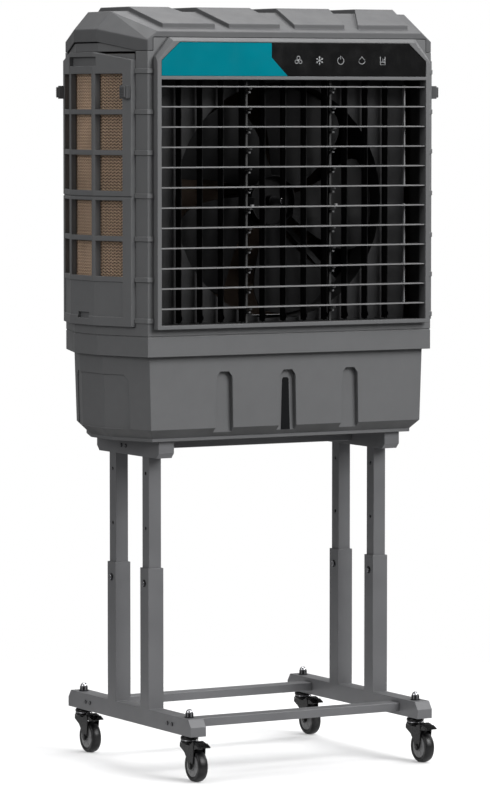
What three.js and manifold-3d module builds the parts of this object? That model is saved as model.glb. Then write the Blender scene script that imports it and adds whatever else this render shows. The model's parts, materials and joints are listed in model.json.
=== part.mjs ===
// Evaporative cooler on a height-adjustable stand with casters.
// Millimetres, +Z up, the front (air outlet) faces -Y. The origin lies on the floor,
// under the middle of the overall box.
import * as THREE from 'three';
import { ConvexGeometry } from 'three/addons/geometries/ConvexGeometry.js';
import { mergeVertices } from 'three/addons/utils/BufferGeometryUtils.js';
import Module from 'manifold-3d';

// ---------------------------------------------------------------- driving dimensions
const GAP = 0.3; // between two pieces that touch
const RUNNING_GAP = 0.5; // between a moving piece and what it moves in
const CUT_OVER = 1; // by which a cut reaches past the face it opens
const FAR = 1500; // beyond the cabinet on every side

// casters
const WHEEL_DIAMETER = 75;
const WHEEL_WIDTH = 24;
const WHEEL_SIDE_GAP = 1.8;
const FORK_ABOVE_WHEEL = 30; // from the wheel's top to the caster's mounting face
const CASTER_HEIGHT = WHEEL_DIAMETER + FORK_ABOVE_WHEEL;
const CASTER_TRAIL = 33;
const AXLE_RADIUS = 4;
const STEM_RADIUS = 6;
const STEM_DEPTH = 14;
const CHEEK_THICKNESS = 2.5;
const FORK_HEAD_RADIUS = 21;

// stand
const TUBE = 40; // side of the beams and of the lower legs
const TUBE_WALL = 2;
const SLEEVE_WALL = 3.6;
const LEG_CLEAR = 0.4; // around an upper leg in its sleeve
const INNER_LEG = TUBE - 2 * (SLEEVE_WALL + LEG_CLEAR); // side of the sliding upper legs
const INNER_LEG_WALL = 2.5;
const RAIL_WIDTH = 40;
const RAIL_HEIGHT = 20;
const RAIL_WALL = 2;
const BEAM_SPACING = 612.8; // centre to centre
const BASE_BEAM_LENGTH = 615.2;
const UPPER_BEAM_LENGTH = 310;
const STEM_INSET = 42.6; // from a base beam's end to its caster
const LEG_SPACING = 164.6; // front leg to rear leg
const RAIL_Y = 206; // front and rear base rails
const UPPER_RAIL_Y = 20;
const ADJUST_PITCH = 129; // between two height settings
const ADJUST_STEPS = 2;
const LEG_OVERLAP = 70; // leg left in its sleeve at the highest setting
const LEG_END_GAP = 3; // at the lowest setting
const BOLT_BELOW_SLEEVE_TOP = 36;
const BOLT_HOLE_RADIUS = 4.5;
const SCREW_SPACING = 22;
const SCREW_HEAD_RADIUS = 4.5;

// cabinet outline, as seen from above
const FRONT_WIDTH = 764;
const SIDE_BULGE = 54; // of each side past the front's corner
const CABINET_WIDTH = FRONT_WIDTH + 2 * SIDE_BULGE;
const CABINET_DEPTH = 412;
const SIDE_FLAT = 114; // length of the side's middle facet
const WALL = 4;

// tank
const TANK_HEIGHT = 226.4;
const TANK_SIDE_GAP = 13;
const TANK_FRONT_GAP = 17;
const TANK_TAPER = 5; // at the sides
const TANK_FRONT_TAPER = 1.5;
const TANK_CHAMFER_HEIGHT = 21;
const TANK_CHAMFER_DEPTH = 22;
const TANK_PLINTH = 8;
const SLOT_PITCH = 170;
const SLOT_TOP_WIDTH = 41;
const SLOT_BOTTOM_WIDTH = 48;
const SLOT_HEIGHT = 131; // above the chamfer
const SLOT_DEPTH = 13;
const SIDE_RECESS_WIDTH = 258;
const SIDE_RECESS_HEIGHT = 126;
const SIDE_RECESS_DEPTH = 3;

// cabinet body
const SKIRT_OVERLAP = 27; // skirt below the tank's rim
const SKIRT_GROOVE_HEIGHT = 46;
const DECK_WIDTH = 50;
const BEZEL_ABOVE_SKIRT = 64;
const PANEL_ABOVE_SKIRT = 69;
const COLUMN_DEPTH = 35; // of a corner column, along Y
const JAMB = 4;
const LEDGE_HEIGHT = 11;
const LEDGE_DEPTH = 3.5;
const INNER_RING_INSET = 4.6;
const CORNER_DROP = 31; // from the bezel's top to the column tops
const GLAND_FROM_CORNER = 60;
const GLAND_ABOVE_SKIRT = 24;
const GLAND_RADIUS = 10;
const GLAND_LENGTH = 10;
const CABLE_RADIUS = 4;

// front bezel and air outlet
const BEZEL_DEPTH = 20; // in front of the cabinet
const BEZEL_SIDE_MARGIN = 15; // from the cabinet's front corner
const BEZEL_FRAME = 11; // beside the opening
const BEZEL_SILL = 9;
const BEZEL_BAR = 8; // between air outlet and control panel
const CONTROL_HEIGHT = 78.2;
const CONTROL_THICKNESS = 3.2;
const POCKET_DEPTH = 4; // that the control panel sits in
const BEZEL_TOP = 10.3;
const CONTROL_CORNER = [48, 42]; // chamfer of the control panel's upper corners
const BEZEL_CORNER = [36, 44];
const BEZEL_BROW = 8; // slope above the bezel's front face
const DUCT_WALL = 3;
const SLAT_COUNT = 12;
const SLAT_PITCH = 46.5;
const SLAT_TOP_MARGIN = 16.3;
const SLAT_BOTTOM_MARGIN = 37.7;
const SLAT_CHORD = 26;
const SLAT_THICKNESS = 3.2;
const SLAT_PIVOT_DEPTH = 17; // behind the bezel's front
const SLAT_PIN_RADIUS = 2.2;
const PIN_HOLE_RADIUS = 2.9;
const CRANK_RADIUS = 20;
const CRANK_PIN_RADIUS = 1.6;
const LINK_X = 317.3;
const LINK_THICKNESS = 3.8;
const LINK_WIDTH = 7;
const LINK_END = 4; // of a link past its last pin
const MULLION_X = 113;
const MULLION_WIDTH = 6;
const MULLION_DEPTH = 8;
const MULLION_GAP = 4; // behind the slats
const VANE_COUNT = 11;
const VANE_PITCH = 55.8;
const VANE_CHORD = 26;
const VANE_THICKNESS = 2;
const VANE_GAP = 6; // behind the mullions
const VANE_PIVOT_DEPTH =
  SLAT_PIVOT_DEPTH + SLAT_CHORD / 2 + MULLION_GAP + MULLION_DEPTH + VANE_GAP + VANE_CHORD / 2;
const DUCT_BEHIND_VANES = 2;
const DUCT_DEPTH = VANE_PIVOT_DEPTH + VANE_CHORD / 2 + DUCT_BEHIND_VANES; // behind the bezel's front

// fan
const FAN_DIAMETER = 540;
const FAN_TIP_GAP = 8;
const FAN_BLADES = 5;
const FAN_DEPTH = 52;
const BLADE_THICKNESS = 2.8;
const BLADE_CAMBER = 7;
const HUB_RADIUS = 60;
const SHAFT_RADIUS = 8;
const SHROUD_GAP = 4; // behind the outlet duct
const SHROUD_PLATE = 3;
const SHROUD_SIDE_GAP = 12; // inside the duct's width, each side
const RING_DEPTH = 82;
const BRACKET_ARM = 14;
const BRACKET_DEPTH = 8;
const MOTOR_RADIUS = 62;
const MOTOR_LENGTH = 108;

// pad panels and pads
const PANEL_PROUD = 11;
const PANEL_INNER = 3;
const PANEL_ARCH = 18;
const SIDE_OVERHEAD = 20; // from a panel's top corner to the column tops
const LOWER_FIELD = 115.2; // closed foot of a panel
const FOOT_DEPTH = 2; // of the sunk field in it
const TOP_FIELD = 32;
const BAR = 11.8;
const SPLIT_BAR = 22.4;
const UPPER_ROWS = 3;
const LOWER_ROWS = 2;
const CENTRE_WINDOW = 102;
const MULLION = 14;
const OBLIQUE_WINDOW = 80;
const REAR_COLUMNS = 5;
const REAR_PANEL_WIDTH = 690;
const REAR_SIDE_FRAME = 40;
const PAD_THICKNESS = 40;
const PAD_INSET = 4.5;
const PAD_CLEAR = 3; // to the edges of the pad bays and to the outlet duct
const REAR_PAD_WIDTH = 650;
const LATCH = [17, 20, 30]; // out, along the panel, up

// top cover
const COVER_HEIGHT = 62; // above the bezel's top
const COVER_FRONT_RISE = 14.5;
const COVER_CORNER_DROP = 6;
const COVER_SIDE_RISE = 20;
const COVER_ARCH = 21;
const COVER_RIDGE_Y = 70;
const COVER_SIDE_SLOPE = 38;
const COVER_FRONT_CHAMFER = 26;
const COVER_RIDGE_INSET = 18;
const RIB_RISE = 11;
const RIB_FRONT_INSET = 22;
const RIBS = [ // front and ridge edges of the two ribs right of the middle
  { front: [19, 156], ridge: [35, 181] },
  { front: [192, 331], ridge: [252, 359] },
];

// water circuit
const TRAY_WIDTH = 36;
const TRAY_INSET = 12;
const TRAY_HEIGHT = 18;
const PUMP_SIZE = [60, 56, 84];
const PUMP_X = 290;
const RISER_RADIUS = 8;

// ---------------------------------------------------------------- levels and places
const baseTop = CASTER_HEIGHT + TUBE;
const heightTravel = ADJUST_PITCH * ADJUST_STEPS;
const sleeveTop = baseTop + LEG_END_GAP + heightTravel + LEG_OVERLAP;
const upperBeamBottom = sleeveTop + heightTravel + LEG_END_GAP;
const upperBeamTop = upperBeamBottom + TUBE;
const tankBottom = upperBeamTop + GAP;
const tankTop = tankBottom + TANK_HEIGHT;
const skirtBottom = tankTop - SKIRT_OVERLAP;
const deckBottom = tankTop + GAP;
const deckTop = deckBottom + WALL;
const bezelBottom = skirtBottom + BEZEL_ABOVE_SKIRT;
const outletBottom = bezelBottom + BEZEL_SILL;
const outletTop = outletBottom + SLAT_BOTTOM_MARGIN + (SLAT_COUNT - 1) * SLAT_PITCH + SLAT_TOP_MARGIN;
const controlBottom = outletTop + BEZEL_BAR;
const controlTop = controlBottom + CONTROL_HEIGHT;
const bezelTop = controlTop + BEZEL_TOP;
const columnTop = bezelTop - CORNER_DROP;
const panelBottom = skirtBottom + PANEL_ABOVE_SKIRT;
const panelTop = columnTop - SIDE_OVERHEAD;
const coverTop = bezelTop + COVER_HEIGHT;

const beamX = BEAM_SPACING / 2;
const casterY = BASE_BEAM_LENGTH / 2 - STEM_INSET;
const legY = LEG_SPACING / 2;
const frontX = FRONT_WIDTH / 2;
const bezelX = frontX - BEZEL_SIDE_MARGIN;
const openingX = bezelX - BEZEL_FRAME;
const frontY = -CABINET_DEPTH / 2;
const bezelY = frontY - BEZEL_DEPTH;
const slatY = bezelY + SLAT_PIVOT_DEPTH;
const vaneY = bezelY + VANE_PIVOT_DEPTH;
const shroudY = bezelY + DUCT_DEPTH + SHROUD_GAP;
const fanZ = (outletBottom + outletTop) / 2;
const columnY = CABINET_DEPTH / 2 - COLUMN_DEPTH; // half width of the side openings
const slatLevels = Array.from({ length: SLAT_COUNT }, (_, i) => outletTop - SLAT_TOP_MARGIN - i * SLAT_PITCH);
const vanePlaces = Array.from({ length: VANE_COUNT }, (_, i) => (i - (VANE_COUNT - 1) / 2) * VANE_PITCH);
const SLATS_PER_GROUP = SLAT_COUNT / 2;

// The casters reach further forward than the beams reach back, so the stand is moved
// to put the overall box's middle at Y = 0.
const frontReach = casterY + CASTER_TRAIL + WHEEL_DIAMETER / 2;
const middleY = (frontReach - BASE_BEAM_LENGTH / 2) / 2;

// ---------------------------------------------------------------- solids
const wasm = await Module();
wasm.setup();

function toSolid(geometry) {
  const bare = geometry.index ? geometry.toNonIndexed() : geometry.clone();
  bare.deleteAttribute('normal');
  bare.deleteAttribute('uv');
  const merged = mergeVertices(bare, 1e-4);
  const corners = merged.index.array;
  const kept = [];
  for (let i = 0; i < corners.length; i += 3) {
    const [a, b, c] = [corners[i], corners[i + 1], corners[i + 2]];
    if (a !== b && b !== c && c !== a) kept.push(a, b, c);
  }
  const vertProperties = new Float32Array(merged.attributes.position.array);
  return new wasm.Manifold(new wasm.Mesh({ numProp: 3, vertProperties, triVerts: new Uint32Array(kept) }));
}

function toGeometry(solid) {
  const { vertProperties, triVerts } = solid.getMesh();
  const geometry = new THREE.BufferGeometry();
  geometry.setAttribute('position', new THREE.BufferAttribute(new Float32Array(vertProperties), 3));
  geometry.setIndex(new THREE.BufferAttribute(new Uint32Array(triVerts), 1));
  const flat = geometry.toNonIndexed();
  flat.computeVertexNormals();
  return flat;
}

const union = (solids) => solids.reduce((whole, piece) => whole.add(piece));
const cut = (solid, tools) => tools.reduce((rest, tool) => rest.subtract(tool), solid);

function block([x0, x1], [y0, y1], [z0, z1]) {
  const geometry = new THREE.BoxGeometry(x1 - x0, y1 - y0, z1 - z0);
  geometry.translate((x0 + x1) / 2, (y0 + y1) / 2, (z0 + z1) / 2);
  return toSolid(geometry);
}

function extrusion(points, depth) {
  const shape = new THREE.Shape(points.map(([a, b]) => new THREE.Vector2(a, b)));
  return new THREE.ExtrudeGeometry(shape, { depth, bevelEnabled: false });
}

// prisms of an outline in XY, YZ or XZ along the remaining axis
function prismZ(points, [z0, z1]) {
  const geometry = extrusion(points, z1 - z0);
  geometry.translate(0, 0, z0);
  return toSolid(geometry);
}

function prismX(points, [x0, x1]) {
  const geometry = extrusion(points, x1 - x0);
  const [x, y, z] = [new THREE.Vector3(1, 0, 0), new THREE.Vector3(0, 1, 0), new THREE.Vector3(0, 0, 1)];
  geometry.applyMatrix4(new THREE.Matrix4().makeBasis(y, z, x));
  geometry.translate(x0, 0, 0);
  return toSolid(geometry);
}

function prismY(points, [y0, y1]) {
  const geometry = extrusion(points, y1 - y0);
  geometry.rotateX(Math.PI / 2);
  geometry.translate(0, y1, 0);
  return toSolid(geometry);
}

// a round bar along x, y or z; centre gives its other two coordinates in X, Y, Z order
function bar(axis, radius, [from, to], centre, sides = 12) {
  const geometry = new THREE.CylinderGeometry(radius, radius, to - from, sides);
  const middle = (from + to) / 2;
  if (axis === 'x') geometry.rotateZ(-Math.PI / 2).translate(middle, centre[0], centre[1]);
  if (axis === 'y') geometry.translate(centre[0], middle, centre[1]);
  if (axis === 'z') geometry.rotateX(Math.PI / 2).translate(centre[0], centre[1], middle);
  return toSolid(geometry);
}

// a turned piece; the profile is [radius, place along the axis], anticlockwise
function turned(profile, axis, segments) {
  const points = profile.map(([radius, place]) => new THREE.Vector2(radius, place));
  const geometry = new THREE.LatheGeometry(points, segments);
  if (axis === 'x') geometry.rotateZ(-Math.PI / 2);
  if (axis === 'z') geometry.rotateX(Math.PI / 2);
  return toSolid(geometry);
}

const hull = (points) => toSolid(new ConvexGeometry(points.map((point) => new THREE.Vector3(...point))));
const both = (make) => [-1, 1].map(make);

// ---------------------------------------------------------------- outlines
// eight corners, anticlockwise, from half the front width, half the width, half the depth
// and half the side's middle facet
function outline([a, b, c, h]) {
  return [[a, -c], [b, -h], [b, h], [a, c], [-a, c], [-b, h], [-b, -h], [-a, -c]];
}

// the same four sizes with every facet moved in by the distance
function movedIn([a, b, c, h], distance) {
  const lean = (b - a) / (c - h);
  const shift = distance * Math.sqrt(1 + lean * lean);
  const obliqueAt = (y) => b - lean * (y - h) - shift;
  const newC = c - distance;
  const newB = b - distance;
  return [obliqueAt(newC), newB, newC, h - (shift - distance) / lean];
}

const cabinet = [frontX, CABINET_WIDTH / 2, CABINET_DEPTH / 2, SIDE_FLAT / 2];
const inset = (distance) => outline(movedIn(cabinet, distance));

// ---------------------------------------------------------------- the assembly
const model = new THREE.Group();
const stand = new THREE.Group();
stand.position.y = middleY;
model.add(stand);

function finish(color, roughness, metalness = 0) {
  return new THREE.MeshStandardMaterial({ color, roughness, metalness });
}

const paintedSteel = finish('#66666a', 0.45, 0.5);
const blackSteel = finish('#17171a', 0.3, 0.6);
const tyreRubber = finish('#1c1c1e', 0.75);
const greyPlastic = finish('#68696b', 0.55);
const coverPlastic = finish('#808184', 0.55);
const darkPlastic = finish('#303133', 0.5);
const vanePlastic = finish('#161617', 0.5);
const slatPlastic = finish('#8d8e91', 0.45);
const controlPlastic = finish('#0f6f7b', 0.25);
const padFibre = finish('#7a6452', 0.9);
const motorPaint = finish('#2a2a2c', 0.4, 0.5);

function add(name, solid, material, place = [0, 0, 0], turn = 0) {
  const mesh = new THREE.Mesh(toGeometry(solid), material);
  mesh.name = name;
  mesh.position.set(...place);
  mesh.rotation.z = turn;
  stand.add(mesh);
}

// ---------------------------------------------------------------- stand
// a square tube along Y with closed ends, each with one chamfered edge; sign +1 puts the
// chamfer on top, -1 below. Vent holes in its underside drain it.
function beam(length, bottom, [chamferY, chamferZ], sign) {
  const [half, mid] = [length / 2, bottom + TUBE / 2];
  const level = (z) => mid + sign * z;
  const profile = [
    [-half, level(-TUBE / 2)], [half, level(-TUBE / 2)], [half, level(TUBE / 2 - chamferZ)],
    [half - chamferY, level(TUBE / 2)], [chamferY - half, level(TUBE / 2)],
    [-half, level(TUBE / 2 - chamferZ)],
  ];
  const inner = TUBE / 2 - TUBE_WALL;
  const reach = half - chamferY - TUBE_WALL;
  const cavity = block([-inner, inner], [-reach, reach], [mid - inner, mid + inner]);
  const vent = bar('z', TUBE_WALL + 1, [bottom - 1, mid], [0, reach - TUBE], 8);
  return cut(prismX(profile, [-TUBE / 2, TUBE / 2]), [cavity, vent]);
}

function squareTube(size, wall, y, [z0, z1]) {
  const [outer, inner] = [size / 2, size / 2 - wall];
  const bore = block([-inner, inner], [y - inner, y + inner], [z0 - 1, z1 + 1]);
  return block([-outer, outer], [y - outer, y + outer], [z0, z1]).subtract(bore);
}

// pairs of screw heads on a beam's outer face, side -1 or +1
function screwPair(side, y, z) {
  const outer = side * TUBE / 2;
  const span = [Math.min(outer - side, outer + 3 * side), Math.max(outer - side, outer + 3 * side)];
  return both((end) => bar('x', SCREW_HEAD_RADIUS, span, [y + end * SCREW_SPACING / 2, z], 6));
}

// threaded stem, washer and domed nut that hold a caster to its beam
function casterStem(y) {
  const washer = bar('z', 11, [baseTop - 1, baseTop + 2], [0, y], 10);
  const nut = bar('z', 9.5, [baseTop + 1, baseTop + 11], [0, y], 6);
  const dome = turned([[0, 0], [8, 0], [7.4, 4], [4.6, 7.6], [0, 9]], 'z', 6);
  const domeAbove = toGeometry(dome).translate(0, y, baseTop + 10.5);
  const stem = bar('z', STEM_RADIUS, [CASTER_HEIGHT - STEM_DEPTH, baseTop + 5], [0, y], 8);
  return union([washer, nut, toSolid(domeAbove), stem]);
}

function baseFrame(side) {
  const pieces = [beam(BASE_BEAM_LENGTH, CASTER_HEIGHT, [13, 18], 1)];
  for (const end of [-1, 1]) {
    const y = end * legY;
    const boltZ = sleeveTop - BOLT_BELOW_SLEEVE_TOP;
    pieces.push(squareTube(TUBE, SLEEVE_WALL, y, [baseTop - GAP, sleeveTop]));
    for (const face of [-1, 1]) {
      const [near, far] = [TUBE / 2 - 1, TUBE / 2 + 5];
      pieces.push(bar('x', 6, face < 0 ? [-far, -near] : [near, far], [y, boltZ], 6));
    }
    pieces.push(casterStem(end * casterY));
    pieces.push(...screwPair(side, end * RAIL_Y, CASTER_HEIGHT + TUBE / 2));
  }
  return union(pieces);
}

function upperFrame(side) {
  const pieces = [beam(UPPER_BEAM_LENGTH, upperBeamBottom, [12, 12], -1)];
  const legBottom = sleeveTop - LEG_OVERLAP;
  for (const end of [-1, 1]) {
    const y = end * legY;
    const leg = squareTube(INNER_LEG, INNER_LEG_WALL, y, [legBottom, upperBeamBottom + GAP]);
    const holes = Array.from({ length: ADJUST_STEPS + 1 }, (_, step) => {
      const z = sleeveTop - BOLT_BELOW_SLEEVE_TOP + step * ADJUST_PITCH;
      return bar('x', BOLT_HOLE_RADIUS, [-INNER_LEG, INNER_LEG], [y, z], 8);
    });
    pieces.push(cut(leg, holes));
  }
  pieces.push(...screwPair(side, UPPER_RAIL_Y, upperBeamBottom + TUBE / 2));
  return union(pieces);
}

function crossRail(y, z) {
  const half = beamX - TUBE / 2 - GAP;
  const [w, h] = [RAIL_WIDTH / 2, RAIL_HEIGHT / 2];
  const across = [y - w + RAIL_WALL, y + w - RAIL_WALL];
  const bore = block([-half - CUT_OVER, half + CUT_OVER], across, [z - h + RAIL_WALL, z + h - RAIL_WALL]);
  return block([-half, half], [y - w, y + w], [z - h, z + h]).subtract(bore);
}

for (const [word, side] of [['left', -1], ['right', 1]]) {
  add(`base_frame_${word}`, baseFrame(side), paintedSteel, [side * beamX, 0, 0]);
  add(`upper_frame_${word}`, upperFrame(side), paintedSteel, [side * beamX, 0, 0]);
}
add('base_rail_front', crossRail(-RAIL_Y, CASTER_HEIGHT + TUBE / 2), paintedSteel);
add('base_rail_rear', crossRail(RAIL_Y, CASTER_HEIGHT + TUBE / 2), paintedSteel);
add('upper_rail', crossRail(UPPER_RAIL_Y, upperBeamBottom + TUBE / 2), paintedSteel);

// ---------------------------------------------------------------- casters
const forkInner = WHEEL_WIDTH / 2 + WHEEL_SIDE_GAP;
const forkOuter = forkInner + CHEEK_THICKNESS;
const wheelZ = WHEEL_DIAMETER / 2;
const crownBottom = WHEEL_DIAMETER + 9;
const crownTop = crownBottom + 4;
const pedalY = -CASTER_TRAIL - 7;
const pedalZ = crownTop + 3;

// swivelling fork: ball-race head, crown, two cheeks and the axle
function casterFork() {
  const top = CASTER_HEIGHT - RUNNING_GAP;
  const head = turned([
    [STEM_RADIUS + RUNNING_GAP, crownBottom + 1], [FORK_HEAD_RADIUS - 3, crownBottom + 1],
    [FORK_HEAD_RADIUS, crownTop + 3], [FORK_HEAD_RADIUS, top - 5], [FORK_HEAD_RADIUS - 4, top],
    [STEM_RADIUS + RUNNING_GAP, top], [STEM_RADIUS + RUNNING_GAP, crownBottom + 1],
  ], 'z', 12);
  const crown = block([-forkOuter, forkOuter], [-CASTER_TRAIL + 2, 18], [crownBottom, crownTop]);
  const bore = bar('z', STEM_RADIUS + RUNNING_GAP, [crownBottom - 1, top + 1], [0, 0], 12);
  const cheekSide = [
    [18, crownTop], [pedalY - 6, crownTop + 6], [pedalY - 8, crownBottom - 8],
    [-CASTER_TRAIL - 9, wheelZ - 6], [-CASTER_TRAIL + 9, wheelZ - 6],
    [-CASTER_TRAIL + 18, wheelZ + 16], [18, crownBottom - 8],
  ];
  const cheeks = both((side) => {
    const span = side < 0 ? [-forkOuter, -forkInner] : [forkInner, forkOuter];
    const pinHole = bar('x', 2.3, [-forkOuter - 1, forkOuter + 1], [pedalY, pedalZ], 8);
    return prismX(cheekSide, span).subtract(pinHole);
  });
  const axle = bar('x', AXLE_RADIUS, [-forkOuter - 3, forkOuter + 3], [-CASTER_TRAIL, wheelZ], 8);
  const axleHeads = both((side) => {
    const span = side < 0 ? [-forkOuter - 3, -forkOuter + 1] : [forkOuter - 1, forkOuter + 3];
    return bar('x', 6.5, span, [-CASTER_TRAIL, wheelZ], 6);
  });
  return union([head, crown.subtract(bore), ...cheeks, axle, ...axleHeads]);
}

function casterWheel() {
  const [r, w] = [WHEEL_DIAMETER / 2, WHEEL_WIDTH / 2];
  const bore = AXLE_RADIUS + RUNNING_GAP;
  return turned([
    [bore, -w], [r - 4, -w], [r, -w + 6], [r, w - 6], [r - 4, w], [bore, w], [bore, -w],
  ], 'x', 24);
}

// brake pedal: barrel with pins between the cheeks, neck and tread that slopes forward
function brakePedal() {
  const inner = forkInner - RUNNING_GAP;
  const barrel = bar('x', 4, [-inner, inner], [pedalY, pedalZ], 10);
  const pins = bar('x', 1.7, [-forkOuter, forkOuter], [pedalY, pedalZ], 8);
  const neckSide = [
    [pedalY, pedalZ + 4], [pedalY - 18, pedalZ - 1], [pedalY - 18, pedalZ - 4], [pedalY, pedalZ + 1],
  ];
  const treadSide = [
    [pedalY - 12, pedalZ + 2], [pedalY - 31, pedalZ - 5], [pedalY - 32, pedalZ - 8.5],
    [pedalY - 12, pedalZ - 2],
  ];
  return union([
    barrel, pins, prismX(neckSide, [-inner, inner]), prismX(treadSide, [-forkOuter, forkOuter]),
  ]);
}

for (const [end, endSign] of [['front', -1], ['rear', 1]]) {
  for (const [word, side] of [['left', -1], ['right', 1]]) {
    const place = [side * beamX, endSign * casterY, 0];
    const hub = [place[0], place[1] - CASTER_TRAIL, wheelZ];
    add(`caster_fork_${end}_${word}`, casterFork(), blackSteel, place);
    add(`caster_wheel_${end}_${word}`, casterWheel(), tyreRubber, hub);
    add(`caster_brake_${end}_${word}`, brakePedal(), blackSteel, place);
  }
}

// ---------------------------------------------------------------- water tank
const chamferTop = tankBottom + TANK_PLINTH + TANK_CHAMFER_HEIGHT;
const tankUpper = [
  cabinet[0] - TANK_SIDE_GAP, cabinet[1] - TANK_SIDE_GAP, cabinet[2] - TANK_FRONT_GAP, cabinet[3],
];
const tankLower = [
  tankUpper[0] - TANK_TAPER, tankUpper[1] - TANK_TAPER, tankUpper[2] - TANK_FRONT_TAPER, tankUpper[3],
];
const atLevel = (sizes, z) => outline(sizes).map(([x, y]) => [x, y, z]);

function tankBody(shrink, bottom, top) {
  const foot = movedIn(tankLower, TANK_CHAMFER_DEPTH + shrink);
  return hull([
    ...atLevel(foot, bottom),
    ...atLevel(movedIn(tankLower, shrink), chamferTop + shrink / 2),
    ...atLevel(movedIn(tankUpper, shrink), skirtBottom),
    ...atLevel(movedIn(tankUpper, shrink), top),
  ]);
}

// three upright recesses in the front that run out through the chamfer; grow widens them
// to the shape of the wall behind them
function frontSlots(grow) {
  const front = -tankUpper[2];
  const slotTop = chamferTop + SLOT_HEIGHT + grow;
  const [top, bottom] = [SLOT_TOP_WIDTH / 2 + grow, SLOT_BOTTOM_WIDTH / 2 + grow];
  return [-SLOT_PITCH, 0, SLOT_PITCH].map((x) => {
    const face = [
      [x - bottom, tankBottom + TANK_PLINTH], [x + bottom, tankBottom + TANK_PLINTH],
      [x + top, slotTop - 12], [x + top - 9, slotTop], [x - top + 9, slotTop], [x - top, slotTop - 12],
    ];
    return prismY(face, [front - 10, front + SLOT_DEPTH + grow]);
  });
}

function sideRecesses(grow) {
  const half = SIDE_RECESS_WIDTH / 2 + grow;
  const [low, high] = [chamferTop - grow, chamferTop + SIDE_RECESS_HEIGHT + grow];
  const corner = 14;
  const face = [
    [-half, low], [half, low], [half, high - corner], [half - corner, high],
    [corner - half, high], [-half, high - corner],
  ];
  const depth = SIDE_RECESS_DEPTH + grow;
  const skin = hull([
    ...atLevel(movedIn(tankLower, depth), low - 1), ...atLevel(movedIn(tankUpper, depth), skirtBottom),
  ]);
  return both((side) => {
    const far = tankUpper[1] + 20;
    const span = side < 0 ? [-far, -tankUpper[0] + 60] : [tankUpper[0] - 60, far];
    return prismX(face, span).subtract(skin);
  });
}

function waterTank() {
  const foot = outline(movedIn(tankLower, TANK_CHAMFER_DEPTH));
  const plinth = prismZ(foot, [tankBottom, tankBottom + TANK_PLINTH + GAP]);
  const outer = tankBody(0, tankBottom + TANK_PLINTH, tankTop).add(plinth);
  const hollow = cut(tankBody(WALL, tankBottom + WALL + 1, tankTop + 1), [
    ...frontSlots(WALL), ...sideRecesses(WALL),
  ]);
  return cut(outer, [...frontSlots(0), ...sideRecesses(0), hollow]);
}

add('water_tank', waterTank(), greyPlastic);

// ---------------------------------------------------------------- window rows
const rowCount = UPPER_ROWS + LOWER_ROWS;
const plainBars = rowCount - 2;
const barsHeight = plainBars * BAR + SPLIT_BAR;
const windowHeight = (panelTop - panelBottom - LOWER_FIELD - TOP_FIELD - barsHeight) / rowCount;

// [bottom, top] of each row of windows, from the top row down, and the bars beside them
const rows = [];
const barLevels = [panelTop - TOP_FIELD + BAR / 2];
for (let row = 0, top = panelTop - TOP_FIELD; row < rowCount; row += 1) {
  const below = row === UPPER_ROWS - 1 ? SPLIT_BAR : BAR;
  rows.push([top - windowHeight, top]);
  barLevels.push(top - windowHeight - below / 2);
  top -= windowHeight + below;
}
barLevels.push(panelBottom + LEDGE_HEIGHT / 2 + 9);

// ---------------------------------------------------------------- cabinet shell
const shellTop = bezelTop - 12;
const rearPanelX = REAR_PANEL_WIDTH / 2;

function outletOpening() {
  const x = openingX + DUCT_WALL + 4 * GAP;
  const z = [outletBottom - DUCT_WALL - GAP, outletTop + DUCT_WALL + 2 * GAP];
  return block([-x, x], [frontY - 20, frontY + WALL + 1], z);
}

// bands round the four corner columns, at the height of the panels' bars
function columnLedges() {
  const band = (z) => prismZ(inset(-LEDGE_DEPTH), [z - LEDGE_HEIGHT / 2, z + LEDGE_HEIGHT / 2]);
  const levels = barLevels.map(band);
  const middle = block([-FAR, FAR], [-columnY, columnY], [0, coverTop]);
  const frontMiddle = block([-bezelX - 2 * GAP, bezelX + 2 * GAP], [frontY - 20, 0], [0, coverTop]);
  const rearMiddle = block([-rearPanelX, rearPanelX], [0, -frontY + 20], [0, coverTop]);
  return cut(union(levels), [middle, frontMiddle, rearMiddle, prismZ(inset(WALL / 2), [0, coverTop])]);
}

// return walls that close the sides of the pad bays
function jambs() {
  const inner = openingX + DUCT_WALL + 4;
  const posts = both((side) => both((end) => {
    const x = side < 0 ? [-FAR, -inner] : [inner, FAR];
    const y = end < 0 ? [-columnY - JAMB, -columnY] : [columnY, columnY + JAMB];
    return block(x, y, [deckTop - 1, columnTop]);
  })).flat();
  return union(posts).intersect(prismZ(inset(WALL / 2), [deckBottom, columnTop]));
}

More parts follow.
